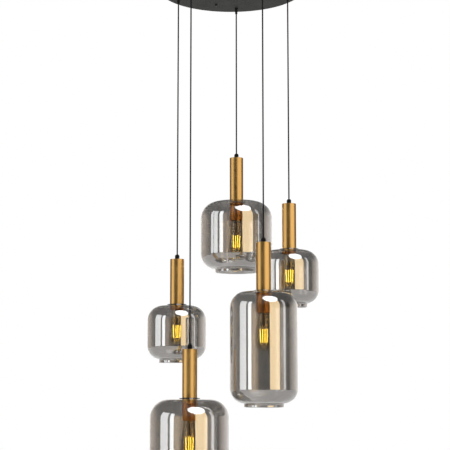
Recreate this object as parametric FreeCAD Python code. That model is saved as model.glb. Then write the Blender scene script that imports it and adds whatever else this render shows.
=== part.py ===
"""Cluster pendant: one round canopy with five glass shades that hang at staggered heights on plain cords.

All sizes are in millimetres. +Z points up, the origin is the canopy's centre on the ceiling plane, and everything
hangs below it. Each pendant is built at the origin with the top of its sleeve at z = 0, then moved under its cord.
"""
import FreeCAD
import Part

import math
import os
from dataclasses import dataclass

Vector = FreeCAD.Vector
UP = Vector(0, 0, 1)
NO_LENGTH = 1e-6

# ---------------------------------------------------------------- canopy
CANOPY_RADIUS = 211.5
CANOPY_HEIGHT = 28.0
CANOPY_WALL = 1.5
CANOPY_EDGE_RADIUS = 5.0
CORD_CIRCLE_RADIUS = 170.0
CORD_COUNT = 5
FIRST_CORD_ANGLE = 90.0

BRACKET_THICKNESS = 2.5
BRACKET_HUB_RADIUS = 50.0
BRACKET_ARM_COUNT = 3
BRACKET_ARM_WIDTH = 28.0
BRACKET_FIRST_ANGLE = 114.2
CABLE_HOLE_RADIUS = 10.0
CEILING_SCREW_CIRCLE_RADIUS = 90.0
CEILING_SCREW_HOLE_RADIUS = 2.75
STUD_CIRCLE_RADIUS = 139.0
STUD_RADIUS = 2.0
STUD_CLEARANCE = 0.2
CAP_NUT_RADIUS = 4.25
CAP_NUT_HEIGHT = 6.5
CAP_NUT_DEPTH = 4.0

TERMINAL_LENGTH = 50.0
TERMINAL_WIDTH = 18.0
TERMINAL_HEIGHT = 14.0
TERMINAL_EDGE_RADIUS = 1.0
TERMINAL_OFFSET = 24.0
TAIL_DEPTH = 10.0
TAIL_LEAD_IN = 22.0
TAIL_BEND_RADIUS = 10.0

# ---------------------------------------------------------------- cord and its two ends
CORD_RADIUS = 2.0
RELIEF_LENGTH = 18.0
RELIEF_ROOT_RADIUS = 5.0
RELIEF_TIP_RADIUS = 3.6
RELIEF_SPIGOT_RADIUS = 4.0
RELIEF_NUT_RADIUS = 7.0
RELIEF_NUT_HEIGHT = 4.0
GRIP_RADIUS = 6.5
GRIP_TOP_RADIUS = 4.6
GRIP_LENGTH = 13.0
GRIP_SHOULDER = 3.0

# ---------------------------------------------------------------- sleeve, lampholder and what clamps the glass
SLEEVE_RADIUS = 20.0
SLEEVE_WALL = 1.5
SLEEVE_CAP_WALL = 2.0
SLEEVE_CHAMFER = 0.6
SEAT_DEPTH = 130.0
GASKET_THICKNESS = 0.8
STEM_RADIUS = 5.0
STEM_BORE_RADIUS = 3.2
STEM_STAND = 7.0
STEM_CLEARANCE = 0.05
HOLDER_RADIUS = 17.2
HOLDER_LENGTH = 36.0
HOLDER_TOP_WALL = 6.0
HOLDER_RECESS = 5.5
HOLDER_SHELL_WALL = 0.6
HOLDER_SHELL_RECESS = 1.0
THREAD_CLEARANCE = 0.05
CLAMP_THREAD_LENGTH = 5.0
GLASS_HOLE_CLEARANCE = 0.8
CONTACT_RADIUS = 4.8
CONTACT_GAP = 0.2

# ---------------------------------------------------------------- bulb
CAP_RADIUS = 13.25
CAP_WALL = 0.8
CAP_SHELL_LENGTH = 21.0
CAP_INSULATOR_LENGTH = 4.5
CAP_TIP_LENGTH = 1.5
CAP_RECESS = 5.0
CAP_CLEARANCE = 0.1
BULB_WALL = 0.8
BULB_NECK_RADIUS = 15.5
BULB_RADIUS = 25.0
BULB_LENGTH = 102.0
BULB_NECK_LAP = 8.0
FILAMENT_COUNT = 4
FILAMENT_TURN = 22.0
FILAMENT_RADIUS = 1.2
FILAMENT_TOP_DEPTH = 44.0
FILAMENT_BOTTOM_DEPTH = 80.0
FILAMENT_TOP_CIRCLE = 11.8
FILAMENT_BOTTOM_CIRCLE = 10.4
MOUNT_ROOT_RADIUS = 6.0
MOUNT_TIP_RADIUS = 2.4
MOUNT_TIP_DEPTH = 38.0
WIRE_RADIUS = 0.5

# ---------------------------------------------------------------- glass shades
GLASS_WALL = 2.5
LIP_RADIUS = 28.0
LIP_HEIGHT = 1.5
LIP_CHAMFER = 0.6
RIM_CHAMFER = 0.6
LAND_RADIUS = 22.0


@dataclass(frozen=True)
class Shade:
    """The outline of one glass shade, measured on its outside."""

    radius: float
    height: float
    shoulder_radius: float
    crown_rise: float
    foot_radius: float
    neck_radius: float
    neck_height: float


@dataclass(frozen=True)
class Pendant:
    """One pendant: its place on the cord circle, how far it hangs, and how far its sleeve reaches into its shade."""

    name: str
    place: int
    drop: float
    sleeve_reach: float
    shade: Shade

    @property
    def sleeve_end(self):
        """The length of the whole sleeve, from its top to its open end."""
        return SEAT_DEPTH + self.sleeve_reach


SMALL_SHADE = Shade(
    radius=84.0, height=167.0, shoulder_radius=42.0, crown_rise=2.5, foot_radius=40.0, neck_radius=50.0, neck_height=9.5
)
LARGE_SHADE = Shade(
    radius=106.0, height=214.0, shoulder_radius=50.0, crown_rise=1.8,
    foot_radius=47.0, neck_radius=63.0, neck_height=9.2,
)
TALL_SHADE = Shade(
    radius=91.0, height=311.0, shoulder_radius=42.0, crown_rise=1.8, foot_radius=40.0, neck_radius=53.5, neck_height=9.2
)
SHORT_SLEEVE_REACH = 16.0
LONG_SLEEVE_REACH = 60.0

# The places on the cord circle count anticlockwise, seen from above, from the rear cord. A drop is measured from
# the canopy's underside to the top of the sleeve.
PENDANTS = [
    Pendant("rear", 0, 464.0, LONG_SLEEVE_REACH, LARGE_SHADE),
    Pendant("left", 1, 778.0, SHORT_SLEEVE_REACH, SMALL_SHADE),
    Pendant("low", 2, 1039.0, LONG_SLEEVE_REACH, LARGE_SHADE),
    Pendant("tall", 3, 752.0, LONG_SLEEVE_REACH, TALL_SHADE),
    Pendant("right", 4, 621.0, SHORT_SLEEVE_REACH, SMALL_SHADE),
]


# ================================================================ small tools
def arc_edge(start, end, centre):
    """Return the shorter arc from start to end about centre, all three in the XZ plane."""
    middle = ((start - centre) + (end - centre)).normalize() * start.distanceToPoint(centre)
    return Part.Arc(start, centre + middle, end).toShape()


def revolved(outline):
    """Turn a closed outline about Z.

    Each item is a corner (r, z), or an arc (r, z, centre r, centre z) that ends at (r, z).
    """
    corners = [Vector(item[0], 0, item[1]) for item in outline]
    edges = []
    for index, item in enumerate(outline):
        start = corners[index - 1]
        end = corners[index]
        if start.distanceToPoint(end) < NO_LENGTH:
            continue
        if len(item) == 4:
            edges.append(arc_edge(start, end, Vector(item[2], 0, item[3])))
        else:
            edges.append(Part.LineSegment(start, end).toShape())
    face = Part.Face(Part.Wire(edges))
    return face.revolve(Vector(0, 0, 0), UP, 360)


def ring(outer, inner, bottom, top):
    """Return a flat-ended tube."""
    return revolved([(inner, bottom), (outer, bottom), (outer, top), (inner, top)])


def disc(radius, bottom, top):
    """Return a plain cylinder."""
    return Part.makeCylinder(radius, top - bottom, Vector(0, 0, bottom))


def rod(radius, start, end):
    """Return a round bar from one point to another."""
    return Part.makeCylinder(radius, start.distanceToPoint(end), start, end - start)


def on_circle(radius, angle, z=0.0):
    """Return the point at this radius and angle in degrees about Z."""
    return Vector(radius * math.cos(math.radians(angle)), radius * math.sin(math.radians(angle)), z)


def tube_along(points, radius, bend):
    """Sweep a round section along straight runs that are joined by tangent arcs of radius bend."""
    edges = []
    start = points[0]
    for before, corner, after in zip(points, points[1:], points[2:]):
        into = (corner - before).normalize()
        out = (after - corner).normalize()
        turn = into.getAngle(out)
        if turn < NO_LENGTH:
            continue
        reach = bend * math.tan(turn / 2)
        first = corner - into * reach
        last = corner + out * reach
        inward = (out - into).normalize()
        centre = corner + inward * (bend / math.cos(turn / 2))
        edges.append(Part.LineSegment(start, first).toShape())
        edges.append(Part.Arc(first, centre - inward * bend, last).toShape())
        start = last
    edges.append(Part.LineSegment(start, points[-1]).toShape())
    path = Part.Wire(edges)
    section = Part.Wire(Part.makeCircle(radius, points[0], points[1] - points[0]))
    return path.makePipeShell([section], True, False)


def save(name, solids):
    """Write one piece, or one group of like pieces, to its own file."""
    shape = solids[0] if len(solids) == 1 else Part.makeCompound(solids)
    shape.exportStep(os.path.join("parts", name + ".step"))


# ================================================================ canopy
def cord_angle(place):
    """Return the angle of a place on the cord circle."""
    return FIRST_CORD_ANGLE + place * 360.0 / CORD_COUNT


def stud_angles():
    """Return the angles of the bracket's arms, which its studs share."""
    return [BRACKET_FIRST_ANGLE + index * 360.0 / BRACKET_ARM_COUNT for index in range(BRACKET_ARM_COUNT)]


def canopy_pan():
    """A pressed steel pan, open towards the ceiling, with a rounded lower edge and its holes."""
    low = -CANOPY_HEIGHT
    bend = CANOPY_EDGE_RADIUS
    inner = CANOPY_RADIUS - CANOPY_WALL
    floor = low + CANOPY_WALL
    pan = revolved([
        (0, low),
        (CANOPY_RADIUS - bend, low),
        (CANOPY_RADIUS, low + bend, CANOPY_RADIUS - bend, low + bend),
        (CANOPY_RADIUS, 0),
        (inner, 0),
        (inner, low + bend),
        (CANOPY_RADIUS - bend, floor),
        (0, floor),
    ])
    holes = [disc(RELIEF_SPIGOT_RADIUS, low, floor).translated(on_circle(CORD_CIRCLE_RADIUS, cord_angle(place)))
             for place in range(CORD_COUNT)]
    holes += [disc(STUD_RADIUS + STUD_CLEARANCE, low, floor).translated(on_circle(STUD_CIRCLE_RADIUS, angle))
              for angle in stud_angles()]
    return [pan.cut(Part.makeCompound(holes))]


def bracket_arm(angle):
    """One arm of the ceiling bracket, with a rounded end beyond its stud."""
    half = BRACKET_ARM_WIDTH / 2
    bar = Part.makeBox(STUD_CIRCLE_RADIUS, BRACKET_ARM_WIDTH, BRACKET_THICKNESS,
                       Vector(0, -half, -BRACKET_THICKNESS))
    end = disc(half, -BRACKET_THICKNESS, 0).translated(Vector(STUD_CIRCLE_RADIUS, 0, 0))
    arm = bar.fuse(end)
    arm.rotate(Vector(0, 0, 0), UP, angle)
    return arm


def ceiling_bracket():
    """A steel star bracket against the ceiling, and the studs that the canopy's cap nuts hold on to."""
    plate = disc(BRACKET_HUB_RADIUS, -BRACKET_THICKNESS, 0)
    plate = plate.multiFuse([bracket_arm(angle) for angle in stud_angles()]).removeSplitter()
    holes = [disc(CABLE_HOLE_RADIUS, -BRACKET_THICKNESS, 0)]
    for angle in stud_angles():
        holes.append(disc(CEILING_SCREW_HOLE_RADIUS, -BRACKET_THICKNESS, 0)
                     .translated(on_circle(CEILING_SCREW_CIRCLE_RADIUS, angle)))
    plate = plate.cut(Part.makeCompound(holes))
    stud = disc(STUD_RADIUS, -CANOPY_HEIGHT - CAP_NUT_DEPTH, -BRACKET_THICKNESS)
    return [plate] + [stud.translated(on_circle(STUD_CIRCLE_RADIUS, angle)) for angle in stud_angles()]


def cap_nuts():
    """Domed nuts under the canopy, each screwed on to its stud."""
    low = -CANOPY_HEIGHT
    side = CAP_NUT_HEIGHT - CAP_NUT_RADIUS / 2
    nut = revolved([
        (STUD_RADIUS, low),
        (CAP_NUT_RADIUS, low),
        (CAP_NUT_RADIUS, low - side),
        (CAP_NUT_RADIUS / 2, low - CAP_NUT_HEIGHT, CAP_NUT_RADIUS / 2, low - side),
        (0, low - CAP_NUT_HEIGHT),
        (0, low - CAP_NUT_DEPTH),
        (STUD_RADIUS, low - CAP_NUT_DEPTH),
    ])
    return [nut.translated(on_circle(STUD_CIRCLE_RADIUS, angle)) for angle in stud_angles()]


def strain_reliefs():
    """A tapered boot with a threaded spigot at each cord hole, and the nut that holds it inside the canopy."""
    low = -CANOPY_HEIGHT
    floor = low + CANOPY_WALL
    top = floor + RELIEF_NUT_HEIGHT
    boot = revolved([
        (0, low - RELIEF_LENGTH),
        (RELIEF_TIP_RADIUS, low - RELIEF_LENGTH),
        (RELIEF_ROOT_RADIUS, low),
        (RELIEF_SPIGOT_RADIUS, low),
        (RELIEF_SPIGOT_RADIUS, top),
        (0, top),
    ])
    nut = ring(RELIEF_NUT_RADIUS, RELIEF_SPIGOT_RADIUS, floor, top)
    pieces = []
    for place in range(CORD_COUNT):
        spot = on_circle(CORD_CIRCLE_RADIUS, cord_angle(place))
        pieces += [boot.translated(spot), nut.translated(spot)]
    return pieces


def tail_entries():
    """Return each cord tail's entry to the terminal block: its x, and +1 or -1 for the face it enters."""
    third = TERMINAL_LENGTH / 3
    return {0: (0, 1), 1: (-third, 1), 4: (third, 1), 2: (-third / 2, -1), 3: (third / 2, -1)}


def terminal_block():
    """The terminal block under the bracket's hub, with the five cord tails that run to it from the canopy's edge."""
    top = -BRACKET_THICKNESS
    block = Part.makeBox(TERMINAL_LENGTH, TERMINAL_WIDTH, TERMINAL_HEIGHT,
                         Vector(-TERMINAL_LENGTH / 2, -TERMINAL_OFFSET - TERMINAL_WIDTH / 2, top - TERMINAL_HEIGHT))
    uprights = [edge for edge in block.Edges if abs(edge.tangentAt(0).z) > 0.9]
    block = block.makeFillet(TERMINAL_EDGE_RADIUS, uprights)
    pieces = [block]
    relief_top = -CANOPY_HEIGHT + CANOPY_WALL + RELIEF_NUT_HEIGHT
    for place, (x, side) in tail_entries().items():
        foot = on_circle(CORD_CIRCLE_RADIUS, cord_angle(place), relief_top)
        face = Vector(x, -TERMINAL_OFFSET + side * TERMINAL_WIDTH / 2, -TAIL_DEPTH)
        route = [foot, Vector(foot.x, foot.y, -TAIL_DEPTH), face + Vector(0, side * TAIL_LEAD_IN, 0), face]
        pieces.append(tube_along(route, CORD_RADIUS, TAIL_BEND_RADIUS))
    return pieces


# ================================================================ one pendant, sleeve top at z = 0
def cord(pendant):
    """The straight cord from the mouth of its strain relief to the top of its grip."""
    top = pendant.drop - RELIEF_LENGTH
    return [disc(CORD_RADIUS, GRIP_LENGTH, top)]


def cord_grip():
    """The grip on the sleeve's top, which screws on to the hollow stem and holds the cord."""
    bore = STEM_RADIUS + STEM_CLEARANCE
    return [revolved([
        (bore, 0),
        (GRIP_RADIUS, 0),
        (GRIP_RADIUS, GRIP_LENGTH - GRIP_SHOULDER),
        (GRIP_TOP_RADIUS, GRIP_LENGTH),
        (0, GRIP_LENGTH),
        (0, STEM_STAND),
        (bore, STEM_STAND),
    ])]


def upper_sleeve():
    """The long sleeve above the glass: a drawn tube, closed at the top round the stem."""
    inner = SLEEVE_RADIUS - SLEEVE_WALL
    bottom = -SEAT_DEPTH + GASKET_THICKNESS
    bore = STEM_RADIUS + STEM_CLEARANCE
    return [revolved([
        (bore, 0),
        (SLEEVE_RADIUS - SLEEVE_CHAMFER, 0),
        (SLEEVE_RADIUS, -SLEEVE_CHAMFER),
        (SLEEVE_RADIUS, bottom),
        (inner, bottom),
        (inner, -SLEEVE_CAP_WALL),
        (bore, -SLEEVE_CAP_WALL),
    ])]


def holder_top(sleeve_end):
    """Return the height of the lampholder's top face."""
    return -sleeve_end + HOLDER_RECESS + HOLDER_LENGTH


def lampholder(sleeve_end):
    """The hollow stem, the holder's body, its screw shell and its centre contact."""
    top = holder_top(sleeve_end)
    bottom = top - HOLDER_LENGTH
    shell_inner = CAP_RADIUS + CAP_CLEARANCE
    shell_outer = shell_inner + HOLDER_SHELL_WALL
    ceiling = top - HOLDER_TOP_WALL
    stem = ring(STEM_RADIUS, STEM_BORE_RADIUS, ceiling, STEM_STAND)
    body = revolved([
        (STEM_RADIUS, ceiling),
        (shell_outer, ceiling),
        (shell_outer, bottom),
        (HOLDER_RADIUS, bottom),
        (HOLDER_RADIUS, top),
        (STEM_RADIUS, top),
    ])
    shell = ring(shell_outer, shell_inner, bottom + HOLDER_SHELL_RECESS, contact_face(sleeve_end))
    contact = disc(CONTACT_RADIUS, contact_face(sleeve_end), ceiling)
    return [stem, body, shell, contact]


def contact_face(sleeve_end):
    """Return the height of the lampholder's centre contact, where the bulb's tip presses."""
    return bulb_tip(sleeve_end) + CONTACT_GAP


def gaskets(shade):
    """The two soft washers, above and below the glass."""
    hole = glass_hole()
    land = -SEAT_DEPTH + land_height(shade)
    return [
        ring(SLEEVE_RADIUS, hole, -SEAT_DEPTH, -SEAT_DEPTH + GASKET_THICKNESS),
        ring(SLEEVE_RADIUS, hole, land - GASKET_THICKNESS, land),
    ]


def lower_sleeve(pendant):
    """The sleeve below the glass. Its threaded collar screws on to the lampholder and clamps the glass."""
    inner = SLEEVE_RADIUS - SLEEVE_WALL
    collar = HOLDER_RADIUS + THREAD_CLEARANCE
    top = -SEAT_DEPTH + land_height(pendant.shade) - GASKET_THICKNESS
    thread_top = min(top, holder_top(pendant.sleeve_end))
    thread_bottom = thread_top - CLAMP_THREAD_LENGTH
    bottom = -pendant.sleeve_end
    return [revolved([
        (inner, bottom),
        (SLEEVE_RADIUS - SLEEVE_CHAMFER, bottom),
        (SLEEVE_RADIUS, bottom + SLEEVE_CHAMFER),
        (SLEEVE_RADIUS, top),
        (inner, top),
        (inner, thread_top),
        (collar, thread_top),
        (collar, thread_bottom),
        (inner, thread_bottom),
    ])]


# ================================================================ glass shade
def glass_hole():
    """Return the radius of the hole in a shade's top, which the lampholder passes."""
    return HOLDER_RADIUS + GLASS_HOLE_CLEARANCE


def crown(shade):
    """Return the crown's radius and its centre's height, and the slope where it meets the shoulder.

    The crown is a shallow dome. It is highest on the axis, and tangent to the shoulder's arc.
    """
    run = shade.radius - shade.shoulder_radius
    slope = 2 * math.atan(shade.crown_rise / run)
    radius = shade.shoulder_radius + run / math.sin(slope)
    return radius, -LIP_HEIGHT - radius, slope


def crown_height(shade, radius, inset):
    """Return the height of the crown's surface at this radius, inset from the outside."""
    crown_radius, centre, _ = crown(shade)
    return centre + math.sqrt((crown_radius - inset) ** 2 - radius ** 2)


def land_height(shade):
    """Return the height of the flat land under the glass, below the seat on top of its lip."""
    return crown_height(shade, LAND_RADIUS, GLASS_WALL)


def shade_side(shade, inset):
    """Return one side of the glass, from the crown's outer end down to the neck, inset from the outside."""
    _, crown_centre, slope = crown(shade)
    shoulder = (shade.radius - shade.shoulder_radius, -LIP_HEIGHT - shade.crown_rise - shade.shoulder_radius)
    foot = (shade.radius - shade.foot_radius, -shade.height + shade.neck_height + shade.foot_radius)
    neck = shade.neck_radius - inset
    neck_top = foot[1] - math.sqrt((shade.foot_radius - inset) ** 2 - (neck - foot[0]) ** 2)
    bend = shade.shoulder_radius - inset
    return [
        (shoulder[0] + bend * math.sin(slope), shoulder[1] + bend * math.cos(slope), 0, crown_centre),
        (shade.radius - inset, shoulder[1], shoulder[0], shoulder[1]),
        (shade.radius - inset, foot[1]),
        (neck, neck_top, foot[0], foot[1]),
    ]


def reversed_side(points):
    """Return the same curve walked the other way: each arc's centre goes with the point it then ends at."""
    walked = []
    for index in range(len(points) - 1, 0, -1):
        walked.append(tuple(points[index - 1][:2]) + tuple(points[index][2:]))
    return walked


def glass_shade(shade):
    """The blown shade: a lip round its hole, a shallow crown, shoulder, straight body, foot and open neck."""
    hole = glass_hole()
    outside = shade_side(shade, 0)
    inside = shade_side(shade, GLASS_WALL)
    crown_centre = crown(shade)[1]
    land = land_height(shade)
    rim = -shade.height
    neck = shade.neck_radius
    outline = [
        (hole, land),
        (hole, 0),
        (LIP_RADIUS - LIP_CHAMFER, 0),
        (LIP_RADIUS, -LIP_CHAMFER),
        (LIP_RADIUS, crown_height(shade, LIP_RADIUS, 0)),
    ]
    outline += outside
    outline += [
        (neck, rim + RIM_CHAMFER),
        (neck - RIM_CHAMFER, rim),
        (neck - GLASS_WALL + RIM_CHAMFER, rim),
        (neck - GLASS_WALL, rim + RIM_CHAMFER),
        inside[-1][:2],
    ]
    outline += reversed_side(inside)
    outline.append((LAND_RADIUS, land, 0, crown_centre))
    glass = revolved(outline)
    return [glass.translated(Vector(0, 0, -SEAT_DEPTH))]


# ================================================================ bulb
def bulb_tip(sleeve_end):
    """Return the height of the tip of the bulb's cap."""
    return -sleeve_end + CAP_RECESS + CAP_SHELL_LENGTH + CAP_INSULATOR_LENGTH + CAP_TIP_LENGTH


def bulb_contact(sleeve_end):
    """The cap's insulator and the contact at its tip."""
    tip = bulb_tip(sleeve_end)
    joint = tip - CAP_TIP_LENGTH
    insulator = revolved([
        (0, joint - CAP_INSULATOR_LENGTH),
        (CAP_RADIUS - CAP_WALL, joint - CAP_INSULATOR_LENGTH),
        (CONTACT_RADIUS + CAP_WALL, joint),
        (0, joint),
    ])
    return [insulator, disc(CONTACT_RADIUS, joint, tip)]


def bulb_cap(sleeve_end):
    """The cap's screw shell."""
    bottom = -sleeve_end + CAP_RECESS
    return [ring(CAP_RADIUS, CAP_RADIUS - CAP_WALL, bottom, bottom + CAP_SHELL_LENGTH)]


def bulb_side(inset):
    """Return one side of the bulb's glass, from its neck to its end: a cone, and the round end that it is tangent to.

    Depths are below the sleeve's end.
    """
    centre = BULB_RADIUS - BULB_LENGTH
    span = math.hypot(BULB_NECK_RADIUS, centre)
    slope = math.asin(BULB_RADIUS / span) - math.atan2(BULB_NECK_RADIUS, -centre)
    ball = BULB_RADIUS - inset
    return [
        (BULB_NECK_RADIUS - inset / math.cos(slope), 0),
        (ball * math.cos(slope), centre + ball * math.sin(slope)),
        (0, centre - ball, 0, centre),
    ]


def bulb_glass(sleeve_end):
    """The bulb's glass envelope, with its neck cemented into the cap."""
    lap = CAP_RADIUS - CAP_WALL
    outside = bulb_side(0)
    inside = bulb_side(BULB_WALL)
    outline = [(lap - BULB_WALL, CAP_RECESS + BULB_NECK_LAP), (lap, CAP_RECESS + BULB_NECK_LAP), (lap, CAP_RECESS)]
    outline += outside
    outline.append(inside[-1][:2])
    outline += reversed_side(inside)
    outline.append((lap - BULB_WALL, CAP_RECESS))
    return [revolved(outline).translated(Vector(0, 0, -sleeve_end))]


def bulb_filament(sleeve_end):
    """The glass mount in the bulb's neck, and the LED filaments that its wires carry."""
    root = CAP_RECESS + BULB_NECK_LAP
    lap = CAP_RADIUS - CAP_WALL - BULB_WALL
    mount = revolved([
        (0, -MOUNT_TIP_DEPTH),
        (MOUNT_TIP_RADIUS, -MOUNT_TIP_DEPTH),
        (MOUNT_ROOT_RADIUS, CAP_RECESS - CAP_WALL),
        (lap, root - CAP_WALL),
        (lap, root),
        (0, root),
    ])
    angles = [FILAMENT_TURN + 360.0 / FILAMENT_COUNT * index for index in range(FILAMENT_COUNT)]
    tops = [on_circle(FILAMENT_TOP_CIRCLE, angle, -FILAMENT_TOP_DEPTH) for angle in angles]
    feet = [on_circle(FILAMENT_BOTTOM_CIRCLE, angle, -FILAMENT_BOTTOM_DEPTH) for angle in angles]
    crown_point = Vector(0, 0, -MOUNT_TIP_DEPTH)
    foot_point = Vector(0, 0, -FILAMENT_BOTTOM_DEPTH)
    wires = [rod(WIRE_RADIUS, crown_point, top) for top in tops]
    wires += [rod(WIRE_RADIUS, foot_point, foot) for foot in feet]
    wires.append(rod(WIRE_RADIUS, crown_point, foot_point))
    filaments = [rod(FILAMENT_RADIUS, top, foot) for top, foot in zip(tops, feet)]
    assembly = mount.multiFuse(wires + filaments)
    return [assembly.Solids[0].translated(Vector(0, 0, -sleeve_end))]


# ================================================================ the whole object
def pendant_pieces(pendant):
    """Return the pieces of one pendant by name, built with the top of its sleeve at z = 0."""
    end = pendant.sleeve_end
    return {
        "cord": cord(pendant),
        "cord_grip": cord_grip(),
        "upper_sleeve": upper_sleeve(),
        "lampholder": lampholder(end),
        "gaskets": gaskets(pendant.shade),
        "lower_sleeve": lower_sleeve(pendant),
        "glass_shade": glass_shade(pendant.shade),
        "bulb_contact": bulb_contact(end),
        "bulb_cap": bulb_cap(end),
        "bulb_glass": bulb_glass(end),
        "bulb_filament": bulb_filament(end),
    }


def main():
    """Build every piece and write it to its own file."""
    os.makedirs("parts", exist_ok=True)
    save("canopy_pan", canopy_pan())
    save("ceiling_bracket", ceiling_bracket())
    save("cap_nuts", cap_nuts())
    save("strain_reliefs", strain_reliefs())
    save("terminal_block", terminal_block())
    for pendant in PENDANTS:
        spot = on_circle(CORD_CIRCLE_RADIUS, cord_angle(pendant.place), -CANOPY_HEIGHT - pendant.drop)
        for piece, solids in pendant_pieces(pendant).items():
            save(f"{pendant.name}_{piece}", [solid.translated(spot) for solid in solids])


main()
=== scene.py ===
"""Looks of a cluster pendant: five smoked, half-mirrored glass shades that hang from one round black canopy.

All lengths are in metres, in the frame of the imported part: +Z points up, the ceiling plane is z = 0 and the
rear cord hangs on the +Y side. Each pendant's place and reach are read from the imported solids. The main
outline sizes below are those of the part's source. Inside the bulb some are finer here: the screw cap is
0.05 mm smaller in radius, the filaments and their wires are thinner, the ring of filaments is narrower, and
the stem has a shape of its own.
"""
from __future__ import annotations

import logging
import math
from dataclasses import dataclass, field
from enum import Enum

import bpy
import numpy as np
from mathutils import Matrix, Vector


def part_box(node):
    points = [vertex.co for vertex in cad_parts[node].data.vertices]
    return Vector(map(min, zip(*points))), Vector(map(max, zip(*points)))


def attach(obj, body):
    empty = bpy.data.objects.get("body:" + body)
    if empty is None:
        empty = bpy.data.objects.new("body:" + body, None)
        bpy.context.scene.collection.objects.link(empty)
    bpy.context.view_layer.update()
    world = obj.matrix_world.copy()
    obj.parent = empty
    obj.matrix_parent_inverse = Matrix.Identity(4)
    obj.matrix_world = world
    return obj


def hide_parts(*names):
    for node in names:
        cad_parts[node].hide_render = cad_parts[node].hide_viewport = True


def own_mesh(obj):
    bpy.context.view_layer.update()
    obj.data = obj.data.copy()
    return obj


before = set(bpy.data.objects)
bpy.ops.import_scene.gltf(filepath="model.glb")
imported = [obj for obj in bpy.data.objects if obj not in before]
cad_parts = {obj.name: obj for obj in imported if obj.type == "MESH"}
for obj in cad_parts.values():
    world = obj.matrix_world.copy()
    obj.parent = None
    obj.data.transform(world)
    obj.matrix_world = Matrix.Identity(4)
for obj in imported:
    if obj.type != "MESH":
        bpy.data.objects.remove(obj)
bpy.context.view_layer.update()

LOG = logging.getLogger("cluster_pendant")

Pair = tuple[float, float]
Point = tuple[float, float, float]
Colour = tuple[float, float, float]
# One point of a line, or an array of them.
Spots = Pair | np.ndarray
# What a node's input takes: an output to link, or a value to set.
Feed = bpy.types.NodeSocket | float | tuple[float, ...]

MM = 0.001
FULL_TURN = 2.0 * math.pi
ORIGIN = (0.0, 0.0, 0.0)
SMOOTH_BELOW = math.radians(38.0)
SMOOTH_BELOW_ON_NUTS = math.radians(25)
# Points of a line that are nearer than this are one, and a radius under the next one is on the axis.
SAME_POINT = 1e-7
ON_AXIS = 1e-9
# A run of a line gets held edges where it is longer than this many gaps. With the next gap a nut gets none.
GAPS_IN_RUN = 4
NO_HELD_EDGES = 10 * MM
# A line is upright when this share of it, and a path when that share of it on average, goes up or down.
UPRIGHT_LINE = 0.9
UPRIGHT_PATH = 0.7
# A ray's depth of one kind is over this once it has bounced that way.
ANY_BOUNCE = 0.5


# ============================================================================================ shapes
def arc(centre: Pair, radius: float, start: float, end: float, step: float = 4.0) -> np.ndarray:
    """Work out points of an arc: centre + radius (sin a, cos a), with a from start to end.

    Args:
        centre: the arc's centre, as (r, z).
        radius: the arc's radius.
        start: the first angle in degrees off straight up.
        end: the last angle.
        step: the largest step between two points, in degrees.

    Returns:
        An array of (r, z) rows.
    """
    count = max(2, math.ceil(abs(end - start) / step) + 1)
    angles = np.radians(np.linspace(start, end, count))
    return np.column_stack((centre[0] + radius * np.sin(angles), centre[1] + radius * np.cos(angles)))


def bend(start: Spots, corner: Spots, end: Spots, count: int = 7) -> np.ndarray:
    """Work out a soft corner: (1-t)^2 start + 2t(1-t) corner + t^2 end, with t from 0 to 1.

    Args:
        start: where the bend starts.
        corner: the point that pulls it.
        end: where it ends.
        count: the number of its points.

    Returns:
        An array with one point in each row.
    """
    t = np.linspace(0.0, 1.0, count)[:, None]
    return (1 - t) ** 2 * np.array(start) + 2 * t * (1 - t) * np.array(corner) + t**2 * np.array(end)


def outline(*runs: Spots) -> np.ndarray:
    """Join corners and arcs to one line, and drop points that repeat.

    Args:
        runs: single (r, z) corners, or arrays of them.

    Returns:
        An array of (r, z) rows.
    """
    rows = np.vstack([np.atleast_2d(np.array(run, float)) for run in runs])
    steps = np.linalg.norm(np.diff(rows, axis=0), axis=1)
    return rows[np.concatenate(([True], steps > SAME_POINT))]


def held_edges(line: np.ndarray, gap: float, closed: bool) -> np.ndarray:
    """Add a point near both ends of each long run, so that a round edge's shading stays at the edge.

    Args:
        line: the (r, z) rows.
        gap: the distance of the added points from the run's ends.
        closed: whether the last row runs back to the first.

    Returns:
        The longer array of rows.
    """
    after = np.roll(line, -1, axis=0)
    runs = list(zip(line, after)) if closed else list(zip(line[:-1], line[1:]))
    rows: list[np.ndarray] = []
    for first, last in runs:
        rows.append(first)
        length = float(np.linalg.norm(last - first))
        if length > GAPS_IN_RUN * gap:
            step = (last - first) * gap / length
            rows += [first + step, last - step]
    if not closed:
        rows.append(line[-1])
    return np.array(rows)


@dataclass
class Surface:
    """A mesh in the making: its points, and its faces as rows of point numbers."""

    points: np.ndarray
    faces: list[list[int]]

    def moved(self, x: float, y: float, z: float) -> Surface:
        """Return the surface moved by (x, y, z)."""
        return Surface(self.points + np.array((x, y, z)), self.faces)

    def joined(self, other: Surface) -> Surface:
        """Return one surface that holds both."""
        faces = [[index + len(self.points) for index in face] for face in other.faces]
        return Surface(np.vstack((self.points, other.points)), self.faces + faces)

    def laid(self, start: np.ndarray, end: np.ndarray) -> Surface:
        """Lay the surface's own Z axis along a line, with its origin at the line's start.

        Args:
            start: the line's start.
            end: its end.

        Returns:
            The surface in its new place.
        """
        along = (end - start) / np.linalg.norm(end - start)
        side = np.cross(along, (0.0, 0.0, 1.0) if abs(along[2]) < UPRIGHT_LINE else (1.0, 0.0, 0.0))
        side /= np.linalg.norm(side)
        axes = np.array((side, np.cross(along, side), along))
        return Surface(self.points @ axes + start, self.faces)


def gathered(parts: list[Surface]) -> Surface:
    """Join several surfaces to one.

    Args:
        parts: the surfaces.

    Returns:
        One surface that holds them all.
    """
    whole = parts[0]
    for part in parts[1:]:
        whole = whole.joined(part)
    return whole


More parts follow.
